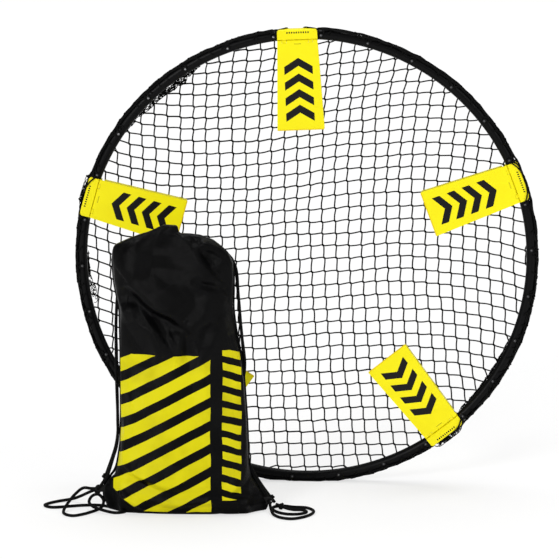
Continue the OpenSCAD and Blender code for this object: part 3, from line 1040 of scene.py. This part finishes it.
def curlLines(profile, start, side, back, count, loop, seed):
    # Slack twine in small loops beside the rim. The profile gives how far it reaches at each
    # angle, from the radius start; side is 1 outwards and -1 inwards
    draw = random.Random(seed)
    angles, reaches = np.array(profile).T
    lines, knots = [], []
    for n in range(count):
        span = (angles[-1] - angles[0]) / 3
        first = draw.uniform(angles[0], angles[-1] - span)
        turns = span / loop
        phase, drift = draw.uniform(0, 6.28), draw.uniform(0, 6.28)
        pts = []
        for t in np.linspace(0, 1, max(8, int(turns * curl["points"]))):
            turned = phase + 2 * math.pi * turns * t + curl["wander"] * math.sin(5 * t * turns / 3 + drift)
            at = first + span * t + curl["swing"] * loop * math.sin(turned)
            reach = float(np.interp(at, angles, reaches))
            share = curl["middle"] + curl["slow"] * math.sin(3.1 * turns * t / 2 + drift)
            share += curl["quick"] * math.cos(turned)
            far = start + side * reach * min(max(share, 0.0), 1.0)
            pts.append(np.array(onRing(at, far, -back + curl["depth"] * math.sin(turned * 0.7 + drift))))
        line = clearOfGround(smoothRoute(pts, curl["step"]), netWeb["twine"])
        lines.append((line, np.full(len(line), netWeb["slackTwine"])))
        for _ in range(int(turns * curl["knots"])):
            knots.append(knotOn(line, draw.randrange(2, len(line) - 2), curl["knotSize"]))
    return lines, knots


# The net's last meshes, run along the rim's outer side, and twines that cross its front
rimWraps = {
    "lanes": (52, 74, 92, 110, 128),    # turns round the tube
    "socketTurns": {1: 22, 2: 62, 3: 62, 4: 70, 5: 88},
    "socketEnd": 4.8,
    "socketBlend": 2.0,
    "angleStep": 1.5,
    "wander": 8.0,
    "wanderKept": 0.75,
    "rise": (-0.0004, 0.0018),
    "riseKept": 0.4,
    "knotEvery": 6,
    "knotShare": 0.6,
    "crossings": 96,
    "crossingTurns": (78, 100, 122, 142, 160),
    "crossingEnd": (165, 185),
    "slant": (1.0, 3.0),
    "crossingGap": 6.4,                 # degrees from a leg's middle that stay clear
    "seed": 23,
}


def laneTurn(lane, angle):
    # Beside a socket the twine keeps to the turn given for that leg
    leg = int(round((angle - ring["firstLeg"]) / legStep)) % ring["legs"] + 1
    blend = min(1.0, max(0.0, (fromLeg(angle) - rimWraps["socketEnd"]) / rimWraps["socketBlend"]))
    return rimWraps["socketTurns"][leg] * (1 - blend) + lane * blend


def edgeTwines():
    draw = random.Random(rimWraps["seed"])
    lines, knots = [], []
    for lane in rimWraps["lanes"]:
        wander, rise, pts = 0.0, 0.0, []
        for angle in np.arange(0, 360 + rimWraps["angleStep"], rimWraps["angleStep"]):
            wander = rimWraps["wanderKept"] * wander + draw.uniform(-rimWraps["wander"], rimWraps["wander"])
            rise = rimWraps["riseKept"] * rise + draw.uniform(*rimWraps["rise"])
            pts.append(np.array(rimEnvelope(angle, laneTurn(lane + wander, angle),
                                            netWeb["twine"] + max(rise, 0.0))))
        line = clearOfGround(smoothRoute(pts, netTail["step"]), netWeb["twine"])
        lines.append(line)
        for spot in range(rimWraps["knotEvery"], len(line) - rimWraps["knotEvery"], rimWraps["knotEvery"]):
            if draw.random() < rimWraps["knotShare"]:
                knots.append(knotOn(line, spot + draw.randrange(4), 1.0))
    for n in range(rimWraps["crossings"]):
        angle = (n + draw.uniform(-0.3, 0.3)) * 360 / rimWraps["crossings"]
        slant = draw.choice((-1, 1)) * draw.uniform(*rimWraps["slant"])
        pts = []
        for turn in (*rimWraps["crossingTurns"], draw.uniform(*rimWraps["crossingEnd"])):
            share = (turn - rimWraps["crossingTurns"][0]) / 100
            pts.append(np.array(rimEnvelope(angle + slant * share, turn, netWeb["twine"] * 0.9)))
        if min(fromLeg(angle), fromLeg(angle + slant)) > rimWraps["crossingGap"]:
            lines.append(clearOfGround(smoothRoute(pts, netTail["step"]), netWeb["twine"]))
    return lines, knots


# Slack twine: (angle, reach) pairs, radius it starts from, side, distance behind, lines, degrees a loop
slackTwines = [
    ([(118.5, 0.003), (122, 0.008), (125, 0.016), (128, 0.014), (132, 0.011), (137, 0.010), (140, 0.005),
      (148.5, 0.003)], 0.4375, -1, 0.013, 9, 0.8),
    ([(179.5, 0.002), (186, 0.005), (189, 0.011), (192, 0.010), (195.5, 0.003)], 0.4375, -1, 0.013, 6, 0.8),
    ([(4, 0.001), (7, 0.004), (10, 0.004), (12, 0.001)], 0.4565, 1, 0.002, 4, 1.0),
    ([(-39, 0.001), (-36, 0.003), (-33, 0.001)], 0.4565, 1, 0.002, 3, 1.0),
    ([(158.8, 0.001), (160, 0.008), (168, 0.008), (169.8, 0.001)], 0.4575, 1, 0.002, 7, 0.9),
    ([(302.9, 0.001), (304.5, 0.010), (311, 0.010), (313.6, 0.001)], 0.4575, 1, 0.000, 12, 0.9),
    ([(230.9, 0.001), (232.5, 0.004), (240, 0.004), (241.6, 0.001)], 0.4575, 1, 0.002, 4, 1.0),
    ([(15.5, 0.001), (18, 0.003), (24, 0.003), (26, 0.001)], 0.4575, 1, 0.000, 2, 1.3),
    ([(104, 0.001), (110, 0.003), (117, 0.001)], 0.4560, 1, 0.002, 6, 1.0),
    ([(-46.5, 0.005), (-42, 0.003), (-30, 0.004), (-20, 0.002)], 0.4375, -1, 0.006, 9, 0.9),
    ([(-46.5, 0.004), (-36, 0.003), (-26, 0.004), (-12, 0.003), (10, 0.003)], 0.4560, 1, 0.002, 12, 0.9),
]


# A twine that comes off a socket's outer edge and over the corner of its face: degrees from the
# leg's middle, radius, and distance in front of the ring's plane
cornerRoute = [
    (0.4, 0.4588, 0.004), (2.0, 0.4590, 0.011), (3.0, 0.4572, 0.0147), (3.9, 0.4545, 0.0147),
    (4.6, 0.4512, 0.0147), (5.3, 0.4478, 0.0140), (6.0, 0.4450, 0.0120), (6.6, 0.4425, 0.0105),
]
socketCorners = ((5, 1), (5, -1), (2, -1), (4, 1))     # leg, and which of its two corners


def makeNet():
    lines, knots = buildNet()
    more = [edgeTwines()]
    more += [curlLines(*entry, seed=curl["seed"] + n) for n, entry in enumerate(slackTwines)]
    for extraLines, extraKnots in more:
        lines += extraLines
        knots += extraKnots
    for leg, side in socketCorners:
        route = [np.array(onRing(legAngle(leg) + side * away, r, front)) for away, r, front in cornerRoute]
        lines.append(smoothRoute(route, 0.003))
    points, faces, uvs = tubeParts(lines, netWeb["twine"], netWeb["sides"])
    knots = [(clearOfGround(np.array(spots), netWeb["knotWidth"]), widths) for spots, widths in knots]
    knotPoints, knotFaces, knotUvs = tubeParts(knots, netWeb["knotWidth"], netWeb["sides"])
    faces = faces + [f + len(points) for f in knotFaces]
    piece = addObject("net_mesh", np.concatenate([points, knotPoints]), faces,
                      uvs=np.concatenate([uvs, knotUvs]))
    piece.data.materials.append(netTwine)
    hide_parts("net")
    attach(piece, "ring")
    print("net made:", len(lines), "twines,", len(knots), "knots")


makeNet()


bag = {
    "y": -0.102,
    "sides": 144,
    "rowStep": 0.005,
    "inset": 0.003,
    "wide": 0.85,           # how square the sections are across
    "deep": 0.70,           # and front to back
    "thinnest": 0.006,
    "mouth": (0.500, 0.050),    # where the gathers start, and over what height they grow
    "fineFrom": 0.52,
    "pleats": 15,
    "pleatDepth": 0.0035,
    "earsBelow": 0.11,
    "earFlat": 0.86,
    "voxel": 0.0040,
    "softenBy": 0.5,
    "softenTimes": 2,
}
clothRun = {
    "frames": 16,
    "quality": 5,
    "mass": 0.12,
    "pressure": 0.5,
    "slack": 0.03,          # how much bigger the cloth is than the shape it covers
    "stiffness": 12.0,
    "bending": 0.6,
    "moveCap": 0.003,
    "ground": 0.0004,
}
fold = {
    "depth": 1.55,
    "limit": 0.013,
    "round": 1.2,           # mm, how far a crease is rounded
    "ends": 0.3,            # share of its length over which a fold fades
    "endHeight": 0.25,
    "hem": 0.02,            # height over which the folds fade at the ground and at the mouth
    "mouth": 0.03,
    "backFolds": 16,
    "backSeed": 5,
}
# The bag's cross-sections up to its gathered mouth: height, left edge, right edge, half depth
bagSections = [
    (0.000, -0.378, -0.069, 0.046), (0.004, -0.383, -0.066, 0.048), (0.014, -0.386, -0.062, 0.052),
    (0.025, -0.389, -0.068, 0.054), (0.034, -0.391, -0.075, 0.055), (0.044, -0.391, -0.082, 0.055),
    (0.054, -0.385, -0.088, 0.055), (0.064, -0.378, -0.095, 0.055), (0.070, -0.366, -0.099, 0.055),
    (0.094, -0.360, -0.104, 0.055), (0.130, -0.355, -0.105, 0.055), (0.180, -0.353, -0.107, 0.054),
    (0.260, -0.353, -0.112, 0.052), (0.310, -0.353, -0.119, 0.051), (0.350, -0.354, -0.127, 0.049),
    (0.400, -0.356, -0.131, 0.046), (0.450, -0.366, -0.130, 0.041), (0.488, -0.369, -0.131, 0.034),
    (0.508, -0.370, -0.140, 0.028), (0.521, -0.366, -0.154, 0.023), (0.533, -0.341, -0.169, 0.018),
    (0.5435, -0.314, -0.197, 0.013), (0.5465, -0.304, -0.236, 0.011), (0.552, -0.291, -0.235, 0.010),
    (0.561, -0.271, -0.239, 0.009),
]
# Folds on the front, each a line of (x, z), its height, and how far it slopes away on the left
# and on the right of the line; a negative height is a valley. All in millimetres.
bagFolds = [
    # the crease below the right shoulder, and the pocket beside it
    ([(-208, 520), (-200, 503), (-185, 481), (-170, 461), (-159, 448)], 9, 10, 46),
    ([(-185, 516), (-176, 502), (-167, 487)], -6, 18, 14),
    ([(-208, 520), (-185, 530), (-160, 522), (-142, 506)], 4, 10, 14),
    ([(-159, 447), (-182, 453), (-202, 459)], -6, 11, 10),
    ([(-158, 444), (-159, 422), (-153, 393), (-145, 366)], 9, 15, 46),
    # the big bulge over a slanting valley
    ([(-332, 453), (-304, 422), (-280, 406), (-252, 393), (-228, 373)], 9, 52, 11),
    ([(-362, 422), (-335, 431), (-315, 418), (-292, 393), (-258, 384), (-228, 368)], -11, 18, 26),
    ([(-283, 453), (-281, 440), (-258, 406), (-243, 390)], 5, 40, 22),
    ([(-359, 393), (-335, 403), (-315, 408)], 6, 12, 24),
    # what runs down from it
    ([(-315, 408), (-295, 381), (-274, 350), (-246, 314)], 9, 18, 42),
    ([(-280, 375), (-258, 343), (-243, 318)], -6, 15, 13),
    ([(-226, 367), (-234, 343), (-239, 316)], 8, 16, 26),
    ([(-223, 365), (-222, 337), (-219, 299)], -5, 20, 12),
    ([(-167, 434), (-185, 400), (-209, 375), (-216, 346)], 6, 26, 20),
    ([(-170, 384), (-185, 362), (-194, 335)], -5, 18, 14),
    # the upper left
    ([(-320, 538), (-321, 500), (-330, 453)], 7, 32, 38),
    ([(-310, 486), (-258, 484), (-216, 475)], -3, 22, 30),
    ([(-292, 541), (-262, 540), (-234, 541)], -3, 5, 16),
    # the lower half
    ([(-350, 300), (-300, 288), (-238, 308)], -4, 30, 34),
    ([(-192, 330), (-183, 250), (-172, 160)], 5, 34, 26),
    ([(-130, 320), (-136, 250), (-128, 170)], -4, 18, 18),
    ([(-340, 250), (-322, 200), (-330, 150)], 4, 24, 20),
    ([(-364, 118), (-330, 84), (-270, 64), (-205, 58)], 8, 38, 14),
    ([(-352, 94), (-322, 68), (-268, 46)], -5, 10, 18),
    ([(-372, 56), (-336, 28), (-298, 6)], 6, 12, 7),
    ([(-104, 112), (-112, 72), (-142, 40)], 6, 9, 18),
    ([(-76, 44), (-104, 34), (-140, 40)], -5, 9, 13),
    ([(-300, 30), (-245, 22), (-180, 28), (-130, 20)], 4, 9, 9),
    ([(-120, 24), (-96, 16), (-72, 20)], 5, 7, 9),
]
# Where each ear of cloth at the bottom starts and ends, across
ears = [(-0.352, -0.391, -1), (-0.104, -0.066, 1)]


def powSigned(v, p):
    return np.sign(v) * np.abs(v) ** p


def foldHeights(x, z, folds):
    # How far each point is pressed out by the folds, in metres
    total = np.zeros(len(x))
    x, z = x * 1000, z * 1000
    for line, height, slopeLeft, slopeRight in folds:
        best = np.full(len(x), 1e9)
        signed = np.zeros(len(x))
        along = np.zeros(len(x))
        run = 0.0
        for (ax, az), (bx, bz) in zip(line[:-1], line[1:]):
            dx, dz = bx - ax, bz - az
            length = math.hypot(dx, dz)
            t = np.clip(((x - ax) * dx + (z - az) * dz) / length ** 2, 0, 1)
            offX, offZ = x - ax - t * dx, z - az - t * dz
            far = np.hypot(offX, offZ)
            nearer = far < best
            best = np.where(nearer, far, best)
            signed = np.where(nearer, np.sign(dx * offZ - dz * offX) * far, signed)
            along = np.where(nearer, run + t * length, along)
            run += length
        slope = np.where(signed > 0, slopeLeft, slopeRight)
        away = np.sqrt(signed ** 2 + fold["round"] ** 2) - fold["round"]
        tent = np.clip(1 - away / slope, 0, 1)
        full = np.clip(np.minimum(along, run - along) / (fold["ends"] * run), 0, 1)
        total += height / 1000 * tent * (full * (1 - fold["endHeight"]) + fold["endHeight"])
    return fold["limit"] * np.tanh(total * fold["depth"] / fold["limit"])


def randomFolds(seed, count):
    draw = random.Random(seed)
    folds = []
    for n in range(count):
        x, z = draw.uniform(-340, -130), draw.uniform(40, 500)
        lean = draw.uniform(-0.9, 0.9)
        points = [(x, z)]
        for k in range(3):
            lean += draw.uniform(-0.35, 0.35)
            x, z = x + 36 * math.cos(lean), z + 36 * math.sin(lean)
            points.append((x, z))
        folds.append((points, draw.choice((-1, 1)) * draw.uniform(2, 5),
                      draw.uniform(10, 40), draw.uniform(10, 40)))
    return folds


def bagLoft():
    table = np.array(bagSections)
    top = table[-1, 0]
    heights = np.concatenate([np.arange(0, bag["fineFrom"], bag["rowStep"]),
                              np.arange(bag["fineFrom"], top, bag["rowStep"] / 2), [top]])
    turns = np.arange(bag["sides"]) * 2 * math.pi / bag["sides"]
    points = []
    for z in heights:
        left, right, half = (np.interp(z, table[:, 0], table[:, k]) for k in (1, 2, 3))
        halfWide = (right - left) / 2 - bag["inset"]
        halfDeep = max(half - bag["inset"], bag["thinnest"])
        c, s = np.cos(turns), np.sin(turns)
        x = (left + right) / 2 + halfWide * powSigned(c, bag["wide"])
        y = halfDeep * powSigned(s, bag["deep"])
        level = np.full(len(turns), min(max(z, bag["inset"]), top))
        # the bottom corners are flat ears of cloth
        for edge, tip, side in ears:
            out = np.clip((x - edge) * side / abs(tip - edge), 0, 1) * (z < bag["earsBelow"])
            y = y * (1 - bag["earFlat"] * out ** 0.8)
        # gathered pleats towards the mouth
        gather = min(1.0, max(0.0, (z - bag["mouth"][0]) / bag["mouth"][1]))
        wave = np.cos(bag["pleats"] * turns + 2.2 * np.sin(2 * turns) + 14 * z)
        swell = bag["pleatDepth"] * gather * wave
        x, y = x + swell * c * 0.4, y + swell * np.sign(s) * np.abs(s) ** 0.5
        points.append(np.stack([x, bag["y"] + y, level], 1))
    points = np.concatenate(points)
    sides, rows = bag["sides"], len(heights)
    k = np.arange(sides)
    faces = []
    for j in range(rows - 1):
        a = j * sides
        faces.extend(np.stack([a + k, a + (k + 1) % sides, a + sides + (k + 1) % sides, a + sides + k], 1))
    faces.append(k[::-1])
    faces.append((rows - 1) * sides + k)
    return points, faces


def meshPoints(mesh):
    co = np.zeros(len(mesh.vertices) * 3, np.float32)
    mesh.vertices.foreach_get("co", co)
    return co.reshape(-1, 3).astype(float)


def applyAll(piece):
    # Replaces the piece's mesh by what its modifiers make of it
    graph = bpy.context.evaluated_depsgraph_get()
    mesh = bpy.data.meshes.new_from_object(piece.evaluated_get(graph))
    piece.modifiers.clear()
    old = piece.data
    piece.data = mesh
    bpy.data.meshes.remove(old)


def crumple(piece, settings):
    # Cloth a little too big for its filling settles into folds; how far a point moves is capped
    before = meshPoints(piece.data)
    cloth = piece.modifiers.new("settle", "CLOTH")
    values = cloth.settings
    values.quality = settings["quality"]
    values.mass = settings["mass"]
    values.tension_stiffness = settings["stiffness"]
    values.compression_stiffness = settings["stiffness"]
    values.shear_stiffness = settings["stiffness"] / 2
    values.bending_stiffness = settings["bending"]
    values.shrink_min = -settings["slack"]
    values.use_pressure = True
    values.uniform_pressure_force = settings["pressure"]
    values.effector_weights.gravity = 0.0
    cloth.collision_settings.use_collision = False
    cloth.point_cache.frame_start = 1
    cloth.point_cache.frame_end = settings["frames"]
    scene = bpy.context.scene
    for step in range(1, settings["frames"] + 1):
        scene.frame_set(step)
    graph = bpy.context.evaluated_depsgraph_get()
    after = meshPoints(piece.evaluated_get(graph).data)
    piece.modifiers.remove(cloth)
    scene.frame_set(1)
    moved = after - before
    far = np.linalg.norm(moved, axis=1)
    cap = settings["moveCap"]
    kept = before + moved * (cap * np.tanh(far / cap) / np.maximum(far, 1e-9))[:, None]
    kept[:, 2] = np.maximum(kept[:, 2], settings["ground"])
    piece.data.vertices.foreach_set("co", kept.astype(np.float32).ravel())
    piece.data.update()
    return float(far.mean()), float(far.max())


def pressFolds(piece):
    # Pushes the front and the back in and out along their folds
    mesh = piece.data
    points = meshPoints(mesh)
    normals = np.zeros(len(mesh.vertices) * 3, np.float32)
    mesh.vertices.foreach_get("normal", normals)
    facing = -normals.reshape(-1, 3)[:, 1]
    x, z = points[:, 0], points[:, 2]
    front = foldHeights(x, z, bagFolds)
    back = foldHeights(x, z, randomFolds(fold["backSeed"], fold["backFolds"]))
    edges = np.clip(z / fold["hem"], 0, 1) * np.clip((bagSections[-1][0] - z) / fold["mouth"], 0, 1)
    press = np.where(facing > 0, -front, back) * np.clip(np.abs(facing) * 1.4 - 0.3, 0, 1) * edges
    points[:, 1] += press
    mesh.vertices.foreach_set("co", points.astype(np.float32).ravel())
    mesh.update()


def makeBag():
    points, faces = bagLoft()
    piece = addObject("bag_cloth", points, faces)
    remesh = piece.modifiers.new("even", "REMESH")
    remesh.mode = "VOXEL"
    remesh.voxel_size = bag["voxel"]
    remesh.use_smooth_shade = True
    applyAll(piece)
    mean, most = crumple(piece, clothRun)
    print("bag settled: %.2f mm on average, %.1f mm at most" % (mean * 1000, most * 1000))
    smooth = piece.modifiers.new("soften", "SMOOTH")
    smooth.factor = bag["softenBy"]
    smooth.iterations = bag["softenTimes"]
    rounder = piece.modifiers.new("round", "SUBSURF")
    rounder.levels = 1
    rounder.render_levels = 1
    applyAll(piece)
    pressFolds(piece)
    piece.data.polygons.foreach_set("use_smooth", [True] * len(piece.data.polygons))
    return piece


bagFinish = {
    "cloth": (0.0010, 0.0010, 0.0011),
    "worn": (0.0020, 0.0020, 0.0022),
    "shine": 0.07,
    "roughness": (0.25, 0.34),
    "threads": 1500.0,
    "crinkle": 55.0,
    "bump": (0.35, 0.0012),
    "fleck": (0.40, 0.72),
    "print": (0.70, 0.635, 0.006),
    "printShade": (0.60, 0.54, 0.004),
}
bagPrint = {
    "front": -0.112,                   # the print is on what lies before this
    "waveScale": 22.0,                 # it follows the cloth's small waves
    "wave": 0.006,
    "bandPitch": 0.046,
    "bandWidth": 0.026,
    "bandLean": 0.55,                  # rise of the bands for each metre across
    "bandShift": 0.0110,
    "bandsLow": 0.006,
    "bandsHigh": 0.316,
    "bandsRight": -0.176,
    "barsAt": -0.1355,                 # the middle of the column of short bars
    "barsWide": 0.036,
    "barHeight": 0.015,
    "barPitch": 0.029,
    "barLean": -0.35,
    "barsLow": 0.030,
    "barsHigh": 0.325,
    "left": -0.3665,                   # the left ear is turned under, so its print doesn't show
    "earLean": 0.762,
    "earLow": -0.2316,
}


def stripes(tree, x, z, lean, shift, pitch, width):
    # Bands that rise with x, repeated every pitch
    lifted = maths(tree, "SUBTRACT", z, maths(tree, "MULTIPLY", x, lean))
    lifted = maths(tree, "SUBTRACT", lifted, shift)
    beat = maths(tree, "FRACT", maths(tree, "DIVIDE", lifted, pitch))
    return maths(tree, "LESS_THAN", beat, width / pitch)


def makeBagCloth():
    material, tree, shader = newMaterial("bagCloth", bagFinish["cloth"], bagFinish["roughness"][0],
                                         bagFinish["shine"])
    weave = placeGroup(tree, weaveGroup, Threads=bagFinish["threads"], Crinkle=bagFinish["crinkle"])
    where = tree.nodes.new("ShaderNodeTexCoord").outputs["Object"]
    split = tree.nodes.new("ShaderNodeSeparateXYZ")
    tree.links.new(where, split.inputs["Vector"])
    waves = maths(tree, "SUBTRACT", noiseValue(tree, where, bagPrint["waveScale"], 2.0), 0.5)
    stray = maths(tree, "MULTIPLY", waves, bagPrint["wave"])
    x = maths(tree, "ADD", split.outputs["X"], stray)
    z = maths(tree, "ADD", split.outputs["Z"], stray)
    bands = stripes(tree, x, z, bagPrint["bandLean"], bagPrint["bandShift"], bagPrint["bandPitch"],
                    bagPrint["bandWidth"])
    bands = allOf(tree, bands, maths(tree, "LESS_THAN", x, bagPrint["bandsRight"]),
                  maths(tree, "GREATER_THAN", z, bagPrint["bandsLow"]),
                  maths(tree, "LESS_THAN", z, bagPrint["bandsHigh"]))
    bars = stripes(tree, x, z, bagPrint["barLean"], 0.0, bagPrint["barPitch"], bagPrint["barHeight"])
    bars = allOf(tree, bars, inkAt(tree, x, bagPrint["barsAt"], bagPrint["barsWide"]),
                 maths(tree, "LESS_THAN", z, bagPrint["barsHigh"]),
                 maths(tree, "GREATER_THAN", z, bagPrint["barsLow"]))
    ear = maths(tree, "ADD", z, maths(tree, "MULTIPLY", x, bagPrint["earLean"]))
    ink = allOf(tree, maths(tree, "MAXIMUM", bands, bars),
                maths(tree, "GREATER_THAN", ear, bagPrint["earLow"]),
                maths(tree, "GREATER_THAN", x, bagPrint["left"]),
                maths(tree, "LESS_THAN", split.outputs["Y"], bagPrint["front"]))
    fleck = ramp(tree, weave.outputs["Tone"], *bagFinish["fleck"])
    cloth = mixColour(tree, fleck, colourOf(bagFinish["cloth"]), colourOf(bagFinish["worn"]))
    printed = mixColour(tree, fleck, colourOf(bagFinish["print"]), colourOf(bagFinish["printShade"]))
    tree.links.new(mixColour(tree, ink, cloth, printed), shader.inputs["Base Color"])
    roughnessBetween(tree, shader, weave.outputs["Tone"], *bagFinish["roughness"])
    bumpTo(tree, shader, weave.outputs["Height"], *bagFinish["bump"])
    return material


bagPiece = makeBag()
bagPiece.data.materials.append(makeBagCloth())
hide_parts("bag_body", "bag_neck")
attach(bagPiece, "bag")
print("bag made:", len(bagPiece.data.polygons), "faces")

bagSeam = {
    "width": 0.0050,
    "thick": 0.0010,
    "step": 0.006,
    "low": 0.014,
    "high": {-1: 0.508, 1: 0.492},      # on the left and on the right
    "nearest": 12,                      # outermost points that place it front to back
    "smoothed": 3,
    "taper": 0.012,
    "outline": [(-1.6, -1), (0.7, -1), (0.8, 0), (0.7, 1), (-1.6, 1)],
}


def sidePath(points, side):
    # The bag's outermost points on one side, smoothed, from bottom to top
    levels = np.arange(bagSeam["low"], bagSeam["high"][side], bagSeam["step"])
    path = []
    for z in levels:
        band = points[np.abs(points[:, 2] - z) < bagSeam["step"]]
        edge = band[np.argsort(side * band[:, 0])[-bagSeam["nearest"]:]]
        path.append([side * np.max(side * band[:, 0]), edge[:, 1].mean(), z])
    path = np.array(path)
    for _ in range(bagSeam["smoothed"]):
        path[1:-1] = (path[:-2] + 2 * path[1:-1] + path[2:]) / 4
    return path


def makeSeam(name, side):
    # The turned edge of the two cloths, sewn together down the side
    path = sidePath(meshPoints(bagPiece.data), side)
    halfWide, halfThick = bagSeam["width"] / 2, bagSeam["thick"] / 2
    outline = bagSeam["outline"]
    points, uvs = [], []
    along = np.concatenate([[0], np.cumsum(np.linalg.norm(np.diff(path, axis=0), axis=1))])
    for p, run in zip(path, along):
        for n, (out, deep) in enumerate(outline):
            ends = min(1.0, (path[-1, 2] - p[2]) / bagSeam["taper"])
            points.append(p + np.array([side * min(out, out * ends) * halfWide, deep * halfThick, 0]))
            uvs.append((n / len(outline), run))
    count, faces = len(outline), []
    for j in range(len(path) - 1):
        for k in range(count):
            a, b = j * count + k, j * count + (k + 1) % count
            faces.append((a, b, b + count, a + count) if side < 0 else (b, a, a + count, b + count))
    faces.append(range(count))
    faces.append(range((len(path) - 1) * count, len(path) * count))
    piece = addObject(name, points, faces, uvs=uvs)
    piece.data.materials.append(cordBraid)
    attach(piece, "bag")


makeSeam("bag_seam_left", -1)
makeSeam("bag_seam_right", 1)
print("seams made")


tabFinish = {
    "colour": (0.004, 0.004, 0.004),
    "worn": (0.010, 0.010, 0.010),
    "shine": 0.15,
    "roughness": (0.55, 0.85),
    "ribs": (700, 450),                 # a metre, across and down
    "fuzz": 2200.0,
    "bump": (0.6, 0.0004),
}
tabEdges = {"width": 0.0008, "segments": 3, "sharpFrom": 35.0}


def makeWebbing():
    material, tree, shader = newMaterial("tabWebbing", tabFinish["colour"], tabFinish["roughness"][0],
                                         tabFinish["shine"])
    where = tree.nodes.new("ShaderNodeTexCoord").outputs["Object"]
    split = tree.nodes.new("ShaderNodeSeparateXYZ")
    tree.links.new(where, split.inputs["Vector"])
    across, down = (maths(tree, "SINE", maths(tree, "MULTIPLY", split.outputs[axis], 2 * math.pi * count))
                    for axis, count in zip("XZ", tabFinish["ribs"]))
    ribs = maths(tree, "MULTIPLY", maths(tree, "MULTIPLY", across, down), 0.5)
    ribs = maths(tree, "ADD", ribs, 0.5)
    fuzz = noiseValue(tree, where, tabFinish["fuzz"], 2.0)
    colour = mixColour(tree, fuzz, colourOf(tabFinish["colour"]), colourOf(tabFinish["worn"]))
    tree.links.new(colour, shader.inputs["Base Color"])
    roughnessBetween(tree, shader, fuzz, *tabFinish["roughness"])
    bumpTo(tree, shader, ribs, *tabFinish["bump"])
    return material


tabWebbing = makeWebbing()
for name in ("cord_tab_left", "cord_tab_right"):
    paintNode(name, tabWebbing)
    softenEdges(nodes[name], **tabEdges)

studio = {
    "floorHalf": 30.0,
    "floorColour": (0.92, 0.92, 0.92),
    "whiteness": 0.62,       # how far the floor that the camera sees is plain white paper
    "skyLight": 0.30,
}


def makeFloor():
    half = studio["floorHalf"]
    corners = [(-half, -half, 0), (half, -half, 0), (half, half, 0), (-half, half, 0)]
    floor = addObject("floor", corners, [(0, 1, 2, 3)], smooth=False)
    material = bpy.data.materials.new("paperFloor")
    material.use_nodes = True
    tree = material.node_tree
    tree.nodes.clear()
    out = tree.nodes.new("ShaderNodeOutputMaterial")
    diffuse = addNode(tree, "ShaderNodeBsdfDiffuse", Color=colourOf(studio["floorColour"]))
    white = addNode(tree, "ShaderNodeEmission", Strength=1.0)
    rays = tree.nodes.new("ShaderNodeLightPath")
    both = tree.nodes.new("ShaderNodeMixShader")
    share = maths(tree, "MULTIPLY", rays.outputs["Is Camera Ray"], studio["whiteness"])
    tree.links.new(share, both.inputs[0])
    tree.links.new(diffuse.outputs[0], both.inputs[1])
    tree.links.new(white.outputs[0], both.inputs[2])
    tree.links.new(both.outputs[0], out.inputs["Surface"])
    floor.data.materials.append(material)


def makeWorld():
    world = bpy.data.worlds.new("studio")
    bpy.context.scene.world = world
    world.use_nodes = True
    tree = world.node_tree
    tree.nodes.clear()
    out = tree.nodes.new("ShaderNodeOutputWorld")
    light = addNode(tree, "ShaderNodeBackground", Color=(1, 1, 1, 1), Strength=studio["skyLight"])
    seen = addNode(tree, "ShaderNodeBackground", Color=(1, 1, 1, 1), Strength=1.0)
    rays = tree.nodes.new("ShaderNodeLightPath")
    direct = maths(tree, "MAXIMUM", rays.outputs["Is Camera Ray"], rays.outputs["Is Transmission Ray"])
    mix = tree.nodes.new("ShaderNodeMixShader")
    tree.links.new(direct, mix.inputs[0])
    tree.links.new(light.outputs[0], mix.inputs[1])
    tree.links.new(seen.outputs[0], mix.inputs[2])
    tree.links.new(mix.outputs[0], out.inputs["Surface"])


suns = [
    # name, where it shines from, softness in degrees, strength
    ("keySun", (-0.62, -1.0, 0.52), 16.0, 1.35),
    ("fillSun", (0.9, -0.9, 0.5), 30.0, 0.55),
    ("topSun", (0.05, 0.25, 1.0), 45.0, 2.0),
]


def makeSun(name, source, softness, strength):
    data = bpy.data.lights.new(name, "SUN")
    data.angle = math.radians(softness)
    data.energy = strength
    lamp = bpy.data.objects.new(name, data)
    lamp.location = source
    lamp.rotation_euler = (-Vector(source)).to_track_quat("-Z", "Y").to_euler()
    bpy.context.scene.collection.objects.link(lamp)


makeFloor()
makeWorld()
for entry in suns:
    makeSun(*entry)
bpy.context.scene.view_settings.view_transform = "Standard"
print("studio made")
